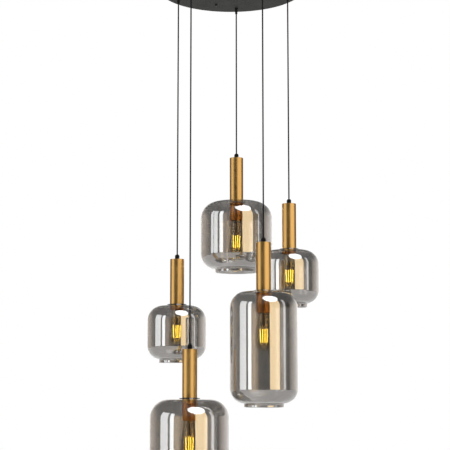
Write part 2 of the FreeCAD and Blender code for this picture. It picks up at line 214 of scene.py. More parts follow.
def ring_points(radii: np.ndarray, heights: np.ndarray, sides: int) -> np.ndarray:
    """Work out rings of points round Z: the point at angle a is (r cos a, r sin a, z).

    Args:
        radii: one row for each ring, which holds one radius, or one for each side.
        heights: each ring's height.
        sides: the number of points in a ring.

    Returns:
        An array with one point in each row, ring after ring.
    """
    angles = np.arange(sides) * FULL_TURN / sides
    layers = (radii * np.cos(angles), radii * np.sin(angles), np.repeat(heights[:, None], sides, axis=1))
    return np.stack(layers, axis=-1).reshape(-1, 3)


def grid_faces(rings: np.ndarray, wrap: bool) -> list[list[int]]:
    """Lay faces between rows of point numbers. Where a row is one point, the faces are triangles.

    Args:
        rings: the point numbers, one row for each ring.
        wrap: whether the last ring joins the first.

    Returns:
        The faces, which face outwards when the rings' profile runs anticlockwise.
    """
    lower = rings if wrap else rings[:-1]
    upper = np.roll(rings, -1, axis=0) if wrap else rings[1:]
    corners = (lower, np.roll(lower, -1, axis=1), np.roll(upper, -1, axis=1), upper)
    quads = np.stack(corners, axis=-1).reshape(-1, 4)
    low_pole = quads[:, 0] == quads[:, 1]
    high_pole = quads[:, 2] == quads[:, 3]
    plain = quads[~low_pole & ~high_pole].tolist()
    return plain + quads[low_pole][:, [0, 2, 3]].tolist() + quads[high_pole][:, [0, 1, 2]].tolist()


def lathe(line: np.ndarray, sides: int, closed: bool = True, gap: float = 0.15 * MM) -> Surface:
    """Turn a profile about Z: the point (r, z) at angle a goes to (r cos a, r sin a, z).

    Args:
        line: the profile's (r, z) rows. An open one starts and ends on the axis.
        sides: the number of steps round the axis.
        closed: whether the profile runs back to its first row.
        gap: how near to a run's ends its held edges lie.

    Returns:
        A closed surface that faces outwards.
    """
    rows = held_edges(line, gap, closed)
    r, z = rows[:, 0], rows[:, 1]
    if np.sum(r * np.roll(z, -1) - np.roll(r, -1) * z) < 0:
        r, z = r[::-1], z[::-1]
    points = ring_points(r[:, None], z, sides)
    rings = np.arange(len(points)).reshape(-1, sides)
    on_axis = r < ON_AXIS
    rings[on_axis] = rings[on_axis, :1]
    used = np.unique(rings)
    number = np.full(len(points), -1)
    number[used] = np.arange(len(used))
    faces = [[int(number[index]) for index in face] for face in grid_faces(rings, closed)]
    return Surface(points[used], faces)


def tube(path: np.ndarray, radius: float, sides: int) -> Surface:
    """Carry a round section along a path: path point + radius (cos a · side + sin a · over).

    Args:
        path: the points of the middle line, one in each row.
        radius: the section's radius.
        sides: the number of points in the section.

    Returns:
        A surface that faces outwards, with both ends closed.
    """
    along = np.gradient(path, axis=0)
    along /= np.linalg.norm(along, axis=1)[:, None]
    steady = (0.0, 0.0, 1.0) if abs(along[:, 2]).mean() < UPRIGHT_PATH else (0.0, 1.0, 0.0)
    side = np.cross(steady, along)
    side /= np.linalg.norm(side, axis=1)[:, None]
    over = np.cross(along, side)
    angles = np.arange(sides) * FULL_TURN / sides
    cosines = np.cos(angles)[None, :, None]
    sines = np.sin(angles)[None, :, None]
    rings = path[:, None, :] + radius * (cosines * side[:, None, :] + sines * over[:, None, :])
    points = np.vstack((path[:1], rings.reshape(-1, 3), path[-1:]))
    numbers = 1 + np.arange(len(path) * sides).reshape(len(path), sides)
    first = np.zeros((1, sides), int)
    last = np.full((1, sides), len(points) - 1)
    return Surface(points, grid_faces(np.vstack((first, numbers, last)), False))


def make_piece(name: str, surface: Surface, material: bpy.types.Material, body: str,
               stands_for: tuple[str, ...] = (), smooth_below: float = SMOOTH_BELOW) -> bpy.types.Object:
    """Put a surface into the scene as one named piece.

    Args:
        name: the piece's name.
        surface: its mesh, in place.
        material: its finish.
        body: the body that it rides on.
        stands_for: the nodes that it replaces.
        smooth_below: edges that bend more than this stay sharp.

    Returns:
        The new object.
    """
    mesh = bpy.data.meshes.new(name)
    mesh.from_pydata(surface.points.tolist(), [], surface.faces)
    mesh.update()
    mesh.shade_smooth()
    mesh.set_sharp_from_angle(angle=smooth_below)
    mesh.materials.append(material)
    piece = bpy.data.objects.new(name, mesh)
    bpy.context.scene.collection.objects.link(piece)
    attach(piece, body)
    if stands_for:
        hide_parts(*stands_for)
    LOG.info("%s rides on %s: %d points", name, body, len(surface.points))
    return piece


def dress_node(name: str, material: bpy.types.Material) -> None:
    """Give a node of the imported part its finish.

    Args:
        name: the node's name.
        material: its finish.
    """
    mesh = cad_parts[name].data
    mesh.materials.clear()
    mesh.materials.append(material)
    mesh.shade_smooth()
    mesh.set_sharp_from_angle(angle=SMOOTH_BELOW)


# ============================================================================================ shader wiring
class Wiring:
    """Adds nodes to one node tree and links them."""

    # The Mix node's sockets for its factor and its two colours, and for the colour that it gives.
    mix_inputs: tuple[int, int, int] = (0, 6, 7)
    mix_output: int = 2

    def __init__(self, tree: bpy.types.NodeTree) -> None:
        """Keep the tree."""
        self.tree = tree

    def add(self, kind: str, inputs: dict[str | int, Feed] | None = None,
            **settings: object) -> bpy.types.Node:
        """Add a node.

        Args:
            kind: the node's type.
            inputs: a socket to link, or a value to set, by socket name or number.
            settings: the node's own properties.

        Returns:
            The node.
        """
        node = self.tree.nodes.new(kind)
        for key, value in settings.items():
            setattr(node, key, value)
        for key, value in (inputs or {}).items():
            self.feed(node.inputs[key], value)
        return node

    def feed(self, socket: bpy.types.NodeSocket, value: Feed) -> None:
        """Link a socket to an output, or set its value.

        Args:
            socket: the input.
            value: the output to link, or the value to set.
        """
        if isinstance(value, bpy.types.NodeSocket):
            self.tree.links.new(value, socket)
        elif isinstance(value, tuple) and len(value) == 3 and socket.type == "RGBA":
            socket.default_value = (*value, 1.0)
        else:
            socket.default_value = value

    def calc(self, operation: str, *values: Feed) -> bpy.types.NodeSocket:
        """Add a Math node and return its output."""
        return self.add("ShaderNodeMath", dict(enumerate(values)), operation=operation).outputs[0]

    def turn(self, operation: str, *values: Feed) -> bpy.types.Node:
        """Add a Vector Math node and return it."""
        return self.add("ShaderNodeVectorMath", dict(enumerate(values)), operation=operation)

    def ramp(self, value: Feed, low: float, high: float, start: float = 0.0,
             end: float = 1.0) -> bpy.types.NodeSocket:
        """Map a value softly from low…high to start…end and return the output."""
        inputs = {"Value": value, "From Min": low, "From Max": high, "To Min": start, "To Max": end}
        return self.add("ShaderNodeMapRange", inputs, interpolation_type="SMOOTHSTEP").outputs["Result"]

    def mix(self, factor: Feed, first: Feed, second: Feed) -> bpy.types.NodeSocket:
        """Blend two colours and return the output."""
        inputs = dict(zip(self.mix_inputs, (factor, first, second)))
        return self.add("ShaderNodeMix", inputs, data_type="RGBA").outputs[self.mix_output]

    def noise(self, vector: Feed, scale: Feed, detail: float = 2.0) -> bpy.types.NodeSocket:
        """Add a Noise texture and return its value."""
        node = self.add("ShaderNodeTexNoise", {"Vector": vector, "Scale": scale, "Detail": detail})
        return node.outputs["Fac"]


def new_group(name: str, inputs: dict[str, tuple[str, float | Point]],
              outputs: dict[str, str]) -> tuple[bpy.types.NodeTree, Wiring, bpy.types.Node, bpy.types.Node]:
    """Start a node group.

    Args:
        name: the group's name.
        inputs: each input's socket type and default.
        outputs: each output's socket type.

    Returns:
        The group, its wiring, its input node and its output node.
    """
    group = bpy.data.node_groups.new(name, "ShaderNodeTree")
    for key, (kind, default) in inputs.items():
        socket = group.interface.new_socket(key, in_out="INPUT", socket_type=kind)
        socket.default_value = default
    for key, kind in outputs.items():
        group.interface.new_socket(key, in_out="OUTPUT", socket_type=kind)
    wiring = Wiring(group)
    return group, wiring, wiring.add("NodeGroupInput"), wiring.add("NodeGroupOutput")


NUMBER = "NodeSocketFloat"
VECTOR = "NodeSocketVector"


class Effects:
    """The effects that several finishes share, each one node group. Scales count marks or waves per metre."""

    grain_detail: float = 3.0
    spot_scale: float = 14.0
    spot_detail: float = 4.0
    spot_range: Pair = (0.35, 0.7)
    line_detail: float = 3.0
    line_range: Pair = (0.35, 0.65)
    warp_scale: float = 9.0
    warp_reach: Point = (0.05, 0.05, 0.05)
    mark_detail: float = 5.0
    mark_breakup: float = 0.62
    mark_range: Pair = (0.42, 0.68)
    wave_stretch: Point = (1.0, 1.0, 0.45)

    def __init__(self) -> None:
        """Build every group."""
        self.speckle = self.build_speckle()
        self.brushing = self.build_brushing()
        self.handling = self.build_handling()
        self.blown = self.build_blown()
        self.softbox = self.build_softbox()

    def build_speckle(self) -> bpy.types.NodeTree:
        """Build the fine grain of a coating or a moulding: a height, and a mask of slightly duller spots.

        Returns:
            The group.
        """
        group, wiring, given, out = new_group(
            "fine_grain", {"Position": (VECTOR, ORIGIN), "Grains per metre": (NUMBER, 1500.0)},
            {"Height": NUMBER, "Spots": NUMBER})
        place = given.outputs["Position"]
        fine = wiring.noise(place, given.outputs["Grains per metre"], self.grain_detail)
        broad = wiring.noise(place, self.spot_scale, self.spot_detail)
        wiring.feed(out.inputs["Height"], fine)
        wiring.feed(out.inputs["Spots"], wiring.ramp(broad, *self.spot_range))
        return group

    def build_brushing(self) -> bpy.types.NodeTree:
        """Build the fine lines round a drawn tube: a height, and a mask of lines that shine less.

        Returns:
            The group.
        """
        group, wiring, given, out = new_group(
            "drawn_lines", {"Position": (VECTOR, ORIGIN), "Stretch": (VECTOR, (40.0, 40.0, 2600.0))},
            {"Height": NUMBER, "Lines": NUMBER})
        spread = wiring.turn("MULTIPLY", given.outputs["Position"], given.outputs["Stretch"]).outputs[0]
        lines = wiring.noise(spread, 1.0, self.line_detail)
        wiring.feed(out.inputs["Height"], lines)
        wiring.feed(out.inputs["Lines"], wiring.ramp(lines, *self.line_range))
        return group

    def build_handling(self) -> bpy.types.NodeTree:
        """Build the faint smears from hands and cloths: a mask that is soft and broken up.

        Returns:
            The group.
        """
        group, wiring, given, out = new_group(
            "handling_marks", {"Position": (VECTOR, ORIGIN), "Marks per metre": (NUMBER, 22.0)},
            {"Marks": NUMBER})
        place = given.outputs["Position"]
        warp = wiring.add("ShaderNodeTexNoise", {"Vector": place, "Scale": self.warp_scale, "Detail": 2.0})
        shifted = wiring.turn("MULTIPLY_ADD", warp.outputs["Color"], self.warp_reach, place).outputs[0]
        marks = wiring.add("ShaderNodeTexNoise", {
            "Vector": shifted, "Scale": given.outputs["Marks per metre"], "Detail": self.mark_detail,
            "Roughness": self.mark_breakup})
        wiring.feed(out.inputs["Marks"], wiring.ramp(marks.outputs["Fac"], *self.mark_range))
        return group

    def build_blown(self) -> bpy.types.NodeTree:
        """Build the slight waves of blown glass: one height.

        Returns:
            The group.
        """
        group, wiring, given, out = new_group(
            "blown_waves", {"Position": (VECTOR, ORIGIN), "Waves per metre": (NUMBER, 7.0)},
            {"Height": NUMBER})
        spread = wiring.turn("MULTIPLY", given.outputs["Position"], self.wave_stretch).outputs[0]
        wiring.feed(out.inputs["Height"], wiring.noise(spread, given.outputs["Waves per metre"], 1.0))
        return group

    def build_softbox(self) -> bpy.types.NodeTree:
        """Build a soft-edged window in two angles, in degrees: the mask of one studio lamp's face.

        Returns:
            The group.
        """
        defaults = {"Turn": 0.0, "Rise": 0.0, "Turn from": -10.0, "Turn to": 10.0, "Rise from": -10.0,
                    "Rise to": 10.0, "Softness": 1.0}
        inputs = {name: (NUMBER, value) for name, value in defaults.items()}
        group, wiring, given, out = new_group("lamp_face", inputs, {"Mask": NUMBER})
        sides = []
        for value, low, high in (("Turn", "Turn from", "Turn to"), ("Rise", "Rise from", "Rise to")):
            for sign, edge in ((1.0, low), (-1.0, high)):
                beyond = wiring.calc("SUBTRACT", given.outputs[value], given.outputs[edge])
                inside = wiring.calc("MULTIPLY", beyond, sign)
                share = wiring.calc("DIVIDE", inside, given.outputs["Softness"])
                sides.append(wiring.ramp(share, -1.0, 1.0))
        mask = wiring.calc("MULTIPLY", wiring.calc("MULTIPLY", sides[0], sides[1]),
                           wiring.calc("MULTIPLY", sides[2], sides[3]))
        wiring.feed(out.inputs["Mask"], mask)
        return group


# ============================================================================================ finishes
@dataclass(frozen=True)
class Finish:
    """What every finish has: a name and a main colour."""

    name: str
    colour: Colour

    def start(self) -> tuple[bpy.types.Material, Wiring, bpy.types.Node, bpy.types.NodeSocket]:
        """Start a material.

        Returns:
            The material, its wiring, its Principled shader and the piece's own coordinates.
        """
        material = bpy.data.materials.new(self.name)
        material.use_nodes = True
        material.diffuse_color = (*self.colour, 1.0)
        wiring = Wiring(material.node_tree)
        shader = material.node_tree.nodes["Principled BSDF"]
        place = wiring.add("ShaderNodeTexCoord").outputs["Object"]
        return material, wiring, shader, place

    @staticmethod
    def group(wiring: Wiring, tree: bpy.types.NodeTree, **inputs: Feed) -> bpy.types.Node:
        """Place a shared group with its own values.

        Args:
            wiring: the wiring of the material or of the world.
            tree: the group.
            inputs: its values, whose names have _ for a space.

        Returns:
            The group's node.
        """
        node = wiring.add("ShaderNodeGroup", node_tree=tree)
        for key, value in inputs.items():
            wiring.feed(node.inputs[key.replace("_", " ")], value)
        return node

    @staticmethod
    def emboss(wiring: Wiring, shader: bpy.types.Node, height: Feed, relief: float, strength: float) -> None:
        """Bump a shader's surface by a height."""
        bump = wiring.add("ShaderNodeBump", {"Height": height, "Distance": relief, "Strength": strength})
        wiring.feed(shader.inputs["Normal"], bump.outputs["Normal"])


@dataclass(frozen=True)
class Coating(Finish):
    """Powder coat, paint, rubber or moulded plastic: one colour with fine grain and faint duller spots."""

    roughness: float = 0.5
    grain: float = 1500.0
    relief: float = 0.04 * MM
    spot_colour: Colour = (0.0, 0.0, 0.0)
    mark_roughness: float = 0.08
    specular: float = 0.5
    bump: float = 0.6

    def material(self, effects: Effects) -> bpy.types.Material:
        """Build the material.

        Args:
            effects: the shared groups.

        Returns:
            The material.
        """
        material, wiring, shader, place = self.start()
        grain = self.group(wiring, effects.speckle, Position=place, Grains_per_metre=self.grain)
        marks = self.group(wiring, effects.handling, Position=place)
        wiring.feed(shader.inputs["Base Color"], self.tint(wiring, place, grain.outputs["Spots"]))
        shader.inputs["Specular IOR Level"].default_value = self.specular
        rough = wiring.calc("MULTIPLY_ADD", marks.outputs["Marks"], self.mark_roughness, self.roughness)
        wiring.feed(shader.inputs["Roughness"], rough)
        self.emboss(wiring, shader, grain.outputs["Height"], self.relief, self.bump)
        return material

    def tint(self, wiring: Wiring, place: bpy.types.NodeSocket,
             spots: bpy.types.NodeSocket) -> bpy.types.NodeSocket:
        """Return the colour over the surface, which here doesn't change with the place but for the spots."""
        return wiring.mix(spots, self.colour, self.spot_colour)


@dataclass(frozen=True)
class BlockWithTails(Coating):
    """A pale moulded block with dark cord tails, which begin where its footprint ends."""

    tail_colour: Colour = (0.01, 0.01, 0.011)
    middle: Point = (0.0, -24.0 * MM, 0.0)
    half_size: Pair = (25.1 * MM, 9.1 * MM)

    def tint(self, wiring: Wiring, place: bpy.types.NodeSocket,
             spots: bpy.types.NodeSocket) -> bpy.types.NodeSocket:
        """Work out the colour over the surface: the block's inside its footprint, and the tails' outside.

        Args:
            wiring: the material's wiring.
            place: the piece's own coordinates.
            spots: the mask of duller spots.

        Returns:
            The colour.
        """
        block = super().tint(wiring, place, spots)
        offset = wiring.turn("SUBTRACT", place, self.middle).outputs[0]
        distance = wiring.turn("ABSOLUTE", offset).outputs[0]
        parts = wiring.add("ShaderNodeSeparateXYZ", {"Vector": distance}).outputs
        pairs = zip((parts["X"], parts["Y"]), self.half_size)
        beyond = [wiring.calc("GREATER_THAN", part, half) for part, half in pairs]
        return wiring.mix(wiring.calc("MAXIMUM", *beyond), block, self.tail_colour)


@dataclass(frozen=True)
class BrushedMetal(Finish):
    """Anodised, drawn or plated metal with fine lines and faint handling marks."""

    roughness: float = 0.28
    line_colour: Colour = (0.0, 0.0, 0.0)
    stretch: Point = (40.0, 40.0, 2600.0)
    relief: float = 0.01 * MM
    line_share: float = 0.5
    line_roughness: float = 0.04
    mark_roughness: float = 0.05
    bump: float = 0.5

    def material(self, effects: Effects) -> bpy.types.Material:
        """Build the material.

        Args:
            effects: the shared groups.

        Returns:
            The material.
        """
        material, wiring, shader, place = self.start()
        lines = self.group(wiring, effects.brushing, Position=place, Stretch=self.stretch)
        marks = self.group(wiring, effects.handling, Position=place)
        faint = wiring.calc("MULTIPLY", lines.outputs["Lines"], self.line_share)
        wiring.feed(shader.inputs["Base Color"], wiring.mix(faint, self.colour, self.line_colour))
        shader.inputs["Metallic"].default_value = 1.0
        worn = wiring.calc("MULTIPLY_ADD", marks.outputs["Marks"], self.mark_roughness, self.roughness)
        rough = wiring.calc("MULTIPLY_ADD", lines.outputs["Lines"], self.line_roughness, worn)
        wiring.feed(shader.inputs["Roughness"], rough)
        self.emboss(wiring, shader, lines.outputs["Height"], self.relief, self.bump)
        return material


@dataclass(frozen=True)
class BlownGlass(Finish):
    """Clear gloss glass, with a share of mirror coating, slight waves and a tint that drifts a little."""

    drift_colour: Colour = (1.0, 1.0, 1.0)
    mirror: float = 0.0
    ior: float = 1.5
    waves: float = 0.0
    drifts_per_metre: float = 6.0
    wave_bump: float = 1.0

    def material(self, effects: Effects) -> bpy.types.Material:
        """Build the material.

        Args:
            effects: the shared groups.

        Returns:
            The material.
        """
        material, wiring, shader, place = self.start()
        drift = self.group(wiring, effects.handling, Position=place, Marks_per_metre=self.drifts_per_metre)
        tint = wiring.mix(drift.outputs["Marks"], self.colour, self.drift_colour)
        wiring.feed(shader.inputs["Base Color"], tint)
        shader.inputs["Metallic"].default_value = self.mirror
        shader.inputs["Roughness"].default_value = 0.0
        shader.inputs["IOR"].default_value = self.ior
        shader.inputs["Transmission Weight"].default_value = 1.0
        if self.waves:
            waves = self.group(wiring, effects.blown, Position=place)
            self.emboss(wiring, shader, waves.outputs["Height"], self.waves, self.wave_bump)
        return material


@dataclass(frozen=True)
class GlowingPhosphor(Finish):
    """The yellow coating of a lit filament: a diffuse skin that glows."""

    glow: float = 1.5
    grain: float = 2500.0
    deep_share: float = 0.8
    roughness: float = 0.6

    def material(self, effects: Effects) -> bpy.types.Material:
        """Build the material.

        Args:
            effects: the shared groups.

        Returns:
            The material.
        """
        material, wiring, shader, place = self.start()
        grain = self.group(wiring, effects.speckle, Position=place, Grains_per_metre=self.grain)
        deep = tuple(part * self.deep_share for part in self.colour)
        skin = wiring.mix(grain.outputs["Height"], self.colour, deep)
        wiring.feed(shader.inputs["Base Color"], skin)
        wiring.feed(shader.inputs["Emission Color"], skin)
        shader.inputs["Emission Strength"].default_value = self.glow
        shader.inputs["Roughness"].default_value = self.roughness
        return material


class Look(Enum):
    """The finishes of this lamp."""

    CANOPY = Coating("canopy_charcoal", (0.021, 0.021, 0.0195), 0.6, 1400.0, 0.05 * MM,
                     (0.025, 0.025, 0.0235), specular=0.2)
    PLASTIC = Coating("black_plastic", (0.005, 0.005, 0.005), 0.5, 2200.0, 0.02 * MM,
                      (0.008, 0.008, 0.008), specular=0.15)
    CORD = Coating("cord_jacket", (0.006, 0.006, 0.007), 0.65, 900.0, 0.003 * MM, (0.009, 0.008, 0.01),
                   specular=0.15)
    NUT = Coating("nut_black", (0.01, 0.01, 0.01), 0.3, 2000.0, 0.01 * MM, (0.015, 0.015, 0.015))
    HOLDER = Coating("holder_black", (0.014, 0.014, 0.014), 0.4, 1800.0, 0.02 * MM, (0.02, 0.02, 0.02))
    GASKET = Coating("gasket_rubber", (0.03, 0.03, 0.03), 0.7, 1500.0, 0.03 * MM, (0.04, 0.04, 0.04))
    NYLON = BlockWithTails("terminal_nylon", (0.62, 0.61, 0.56), 0.45, 1200.0, 0.02 * MM, (0.57, 0.55, 0.5))
    INSULATOR = Coating("cap_insulator", (0.015, 0.015, 0.017), 0.15, 900.0, 0.01 * MM, (0.02, 0.02, 0.02))
    GOLD = BrushedMetal("satin_gold", (0.83, 0.5, 0.165), 0.29, (0.8, 0.475, 0.152), relief=0.002 * MM)
    # Painted shade: the upper sleeve's gold, made deeper and more orange for the sleeve inside the glass.
    GOLD_WITH_PAINTED_SHADE = BrushedMetal("gold_with_painted_shade", (0.88, 0.34, 0.05), 0.4, (0.83, 0.31, 0.04), relief=0.002 * MM)
    CAP = BrushedMetal("cap_brass", (0.72, 0.55, 0.3), 0.22, (0.62, 0.46, 0.24))
    ZINC = BrushedMetal("zinc_plate", (0.6, 0.61, 0.62), 0.38, (0.52, 0.53, 0.55), (900.0, 40.0, 40.0))
    WIRE = BrushedMetal("lead_wire", (0.55, 0.5, 0.42), 0.3, (0.5, 0.45, 0.38))
    SMOKE = BlownGlass("smoked_glass", (0.505, 0.493, 0.478), (0.483, 0.471, 0.457), 0.275, 1.45, 0.15 * MM)
    AMBER = BlownGlass("amber_glass", (0.9, 0.8, 0.62), (0.88, 0.77, 0.58), 0.08, 1.5)
    STEM = BlownGlass("stem_glass", (0.85, 0.8, 0.7), (0.83, 0.78, 0.67), 0.0, 1.5)
    ROD = Coating("blackened_rod", (0.012, 0.01, 0.008), 0.4, 900.0, 0.002 * MM, (0.02, 0.016, 0.012))
    PHOSPHOR = GlowingPhosphor("filament_phosphor", (0.95, 0.74, 0.09), 11.5)


class Finishes:
    """Every finish as a material, built once."""

    def __init__(self, effects: Effects) -> None:
        """Build the materials."""
        self.by_look = {look: look.value.material(effects) for look in Look}

    def __getitem__(self, look: Look) -> bpy.types.Material:
        """Return the material of a look."""
        return self.by_look[look]


# ============================================================================================ studio
@dataclass(frozen=True)
class LampFace:
    """One lamp of the studio as a gloss surface sees it: its edges in degrees, its softness and its light.

    Turn is counted from the camera's side of the lamp round to the right, and rise up from the horizon.
    """

    turn_from: float
    turn_to: float
    rise_from: float
    rise_to: float
    softness: float
    light: Colour


@dataclass(frozen=True)
class LampDisc:
    """A round lamp overhead, as seen on a plane one unit up.

    Its middle and its reach are counted to the right and to the front. Its slant is how much nearer the front
    its middle line comes for each unit to the right.
    """

    right: float
    front: float
    half_right: float
    half_front: float
    slant: float
    softness: float
    light: Colour


@dataclass(frozen=True)
class Tone:
    """How bright the room is at one turn from the front, and how warm its light is, from 0 to 1."""

    turn: float
    brightness: float
    warmth: float = 1.0

    def colour(self, scale: float) -> tuple[float, float, float, float]:
        """Return the tone's colour over scale."""
        share = self.brightness / scale
        return share, share * (1 - 0.2 * self.warmth), share * (1 - 0.38 * self.warmth), 1.0


@dataclass
class Studio:
    """Camera, floor, lamps and the surroundings that the glass and the metal mirror."""

    camera_place: Point = (0.3025, -3.3057, -1.1186)
    camera_pitch: float = 6.936
    camera_turn: float = 5.538
    lens: float = 94.26
    sensor: float = 36.0
    floor_height: float = -2.4
    floor_half: float = 9.0
    floor_tones: tuple[Colour, Colour] = ((0.93, 0.93, 0.93), (0.95, 0.95, 0.95))
    floor_patches: float = 3.0
    floor_roughness: float = 0.8
    floor_shine: float = 0.8
    key_size: Pair = (2.2, 1.6)
    key_energy: float = 60.0
    key_place: Point = (-2.4, -2.6, 0.6)
    key_target: Point = (0.0, 0.0, -0.9)
    backdrop: Colour = (1.0, 1.0, 1.0)
    soft_light: Colour = (0.8, 0.8, 0.8)
    tone_scale: float = 2.0
    inside_depth: float = 3.5
    inside_gain: float = 3.0
    satin_gain: float = 5.0
    disc_horizon: float = 0.01
    ceiling_between: Pair = (6.0, 30.0)
    ceiling: Colour = (0.2, 0.2, 0.2)
    mirror_faces: tuple[LampFace, ...] = (
        LampFace(-91.0, -64.0, -6.0, 29.0, 1.5, (3.0, 3.1, 3.2)),
        LampFace(-57.0, -45.0, -6.0, 29.0, 1.5, (4.2, 4.4, 4.6)),
        LampFace(18.5, 54.0, -6.0, 42.0, 1.0, (3.6, 2.75, 1.6)),
        LampFace(68.0, 77.0, -6.0, 36.0, 1.5, (2.0, 2.05, 2.1)),
    )
    mirror_discs: tuple[LampDisc, ...] = (
        LampDisc(0.52, 0.9, 0.6, 0.66, 0.45, 0.06, (6.0, 6.2, 6.4)),
    )
    mirror_tones: tuple[Tone, ...] = (
        Tone(-180.0, 1.3, 0.1), Tone(-150.0, 0.8, 0.5), Tone(-125.0, 0.75, 0.6), Tone(-112.0, 0.42, 0.4),
        Tone(-100.0, 0.2, 0.2), Tone(-60.0, 0.2, 0.2), Tone(-43.0, 0.75, 0.7), Tone(-34.0, 0.8, 0.8),
        Tone(-26.0, 0.3, 0.7), Tone(-18.0, 0.08, 0.4), Tone(0.0, 0.03, 0.2), Tone(14.0, 0.03, 0.2),
        Tone(58.0, 0.45, 0.8), Tone(66.0, 0.45, 0.8), Tone(80.0, 0.15, 0.6), Tone(92.0, 0.06, 0.4),
        Tone(100.0, 0.5, 0.6), Tone(112.0, 0.9, 0.4), Tone(130.0, 1.3, 0.2), Tone(180.0, 1.4, 0.1),
    )
    satin_faces: tuple[LampFace, ...] = (
        LampFace(16.0, 92.0, -60.0, 70.0, 5.0, (1.08, 1.02, 0.96)),
        LampFace(-98.0, -50.0, -60.0, 70.0, 5.0, (1.0, 1.0, 1.02)),
    )
    satin_tones: tuple[Tone, ...] = (
        Tone(-180.0, 0.2, 0.8), Tone(-110.0, 0.1, 1.6), Tone(-40.0, 0.0, 1.6), Tone(8.0, 0.0, 1.6),
        Tone(100.0, 0.1, 1.4), Tone(180.0, 0.2, 0.8),
    )

    def place_camera(self) -> None:
        """Set the camera at the photograph's viewpoint."""
        data = bpy.data.cameras.new("camera")
        data.sensor_width = self.sensor
        data.lens = self.lens
        camera = bpy.data.objects.new("camera", data)
        camera.location = self.camera_place
        camera.rotation_euler = (math.radians(90.0 + self.camera_pitch), 0.0, math.radians(self.camera_turn))
        bpy.context.scene.collection.objects.link(camera)
        bpy.context.scene.camera = camera

    def lay_floor(self) -> None:
        """Lay the pale floor far below the lamp."""
        half, z = self.floor_half, self.floor_height
        corners = [(-half, -half, z), (half, -half, z), (half, half, z), (-half, half, z)]
        mesh = bpy.data.meshes.new("floor")
        mesh.from_pydata(corners, [], [(0, 1, 2, 3)])
        material = bpy.data.materials.new("pale_floor")
        material.use_nodes = True
        wiring = Wiring(material.node_tree)
        shader = material.node_tree.nodes["Principled BSDF"]
        place = wiring.add("ShaderNodeTexCoord").outputs["Object"]
        tone = wiring.mix(wiring.noise(place, self.floor_patches), *self.floor_tones)
        wiring.feed(shader.inputs["Base Color"], tone)
        shader.inputs["Roughness"].default_value = self.floor_roughness
        shader.inputs["Specular IOR Level"].default_value = 0.0
        mesh.materials.append(material)
        self.lift_floor(wiring, shader)
        floor = bpy.data.objects.new("floor", mesh)
        bpy.context.scene.collection.objects.link(floor)

    def lift_floor(self, wiring: Wiring, shader: bpy.types.Node) -> None:
        """Let the floor shine, so that it meets the backdrop without a line, and open it from below.

        Args:
            wiring: the floor material's wiring.
            shader: its Principled shader.
        """
        rays = wiring.add("ShaderNodeLightPath")
        shine = wiring.add("ShaderNodeEmission", {"Color": self.backdrop, "Strength": 1.0})
        plain = wiring.calc("LESS_THAN", rays.outputs["Diffuse Depth"], ANY_BOUNCE)
        blend = wiring.add("ShaderNodeMixShader", {"Fac": wiring.calc("MULTIPLY", plain, self.floor_shine)})
        wiring.feed(blend.inputs[1], shader.outputs[0])
        wiring.feed(blend.inputs[2], shine.outputs[0])
        under = wiring.add("ShaderNodeNewGeometry").outputs["Backfacing"]
        sides = wiring.add("ShaderNodeMixShader", {"Fac": under})
        wiring.feed(sides.inputs[1], blend.outputs[0])
        wiring.feed(sides.inputs[2], wiring.add("ShaderNodeBsdfTransparent").outputs[0])
        wiring.feed(wiring.tree.nodes["Material Output"].inputs["Surface"], sides.outputs[0])

    def hang_lamps(self) -> None:
        """Hang one large soft lamp in front, to the left and above. Gloss doesn't mirror it."""
        data = bpy.data.lights.new("key_lamp", "AREA")
        data.shape = "RECTANGLE"
        data.size, data.size_y = self.key_size
        data.energy = self.key_energy
        lamp = bpy.data.objects.new("key_lamp", data)
        lamp.location = self.key_place
        towards = Vector(self.key_target) - lamp.location
        lamp.rotation_euler = towards.to_track_quat("-Z", "Y").to_euler()
        lamp.visible_camera = False
        lamp.visible_glossy = False
        lamp.visible_transmission = False
        bpy.context.scene.collection.objects.link(lamp)

    def surround(self, effects: Effects) -> None:
        """Build the surroundings: a plain white backdrop, and a studio with lamps for gloss to mirror.

        Args:
            effects: the shared groups.
        """
        world = bpy.data.worlds.new("studio")
        world.use_nodes = True
        world.cycles.sampling_method = "NONE"
        bpy.context.scene.world = world
        wiring = Wiring(world.node_tree)
        rays = wiring.add("ShaderNodeLightPath").outputs
        turn, rise = self.direction_angles(wiring)
        mirror = self.room(wiring, effects, turn, rise, self.mirror_faces, self.mirror_tones)
        for disc in self.mirror_discs:
            mirror = wiring.mix(self.disc_mask(wiring, disc), mirror, disc.light)
        satin = self.room(wiring, effects, turn, rise, self.satin_faces, self.satin_tones)
        room = wiring.mix(rays["Is Singular Ray"], satin, mirror)
        inside = wiring.calc("GREATER_THAN", rays["Transmission Depth"], self.inside_depth)
        extra = wiring.ramp(rays["Is Singular Ray"], 0.0, 1.0, self.satin_gain - 1.0, self.inside_gain - 1.0)
        gain = wiring.calc("MULTIPLY_ADD", inside, extra, 1.0)
        mirrored = wiring.add("ShaderNodeVectorMath", {0: room, "Scale": gain}, operation="SCALE").outputs[0]
        glossed = wiring.calc("GREATER_THAN", rays["Glossy Depth"], ANY_BOUNCE)
        soft = wiring.calc("GREATER_THAN", rays["Diffuse Depth"], ANY_BOUNCE)
        seen = wiring.mix(glossed, self.backdrop, mirrored)
        light = wiring.mix(soft, seen, self.soft_light)
        wiring.feed(world.node_tree.nodes["Background"].inputs["Color"], light)

    def level_axes(self) -> tuple[Point, Point]:
        """Return the level directions to the front, where the photograph's viewpoint is, and to the right."""
        angle = math.radians(self.camera_turn)
        return (math.sin(angle), -math.cos(angle), 0.0), (math.cos(angle), math.sin(angle), 0.0)

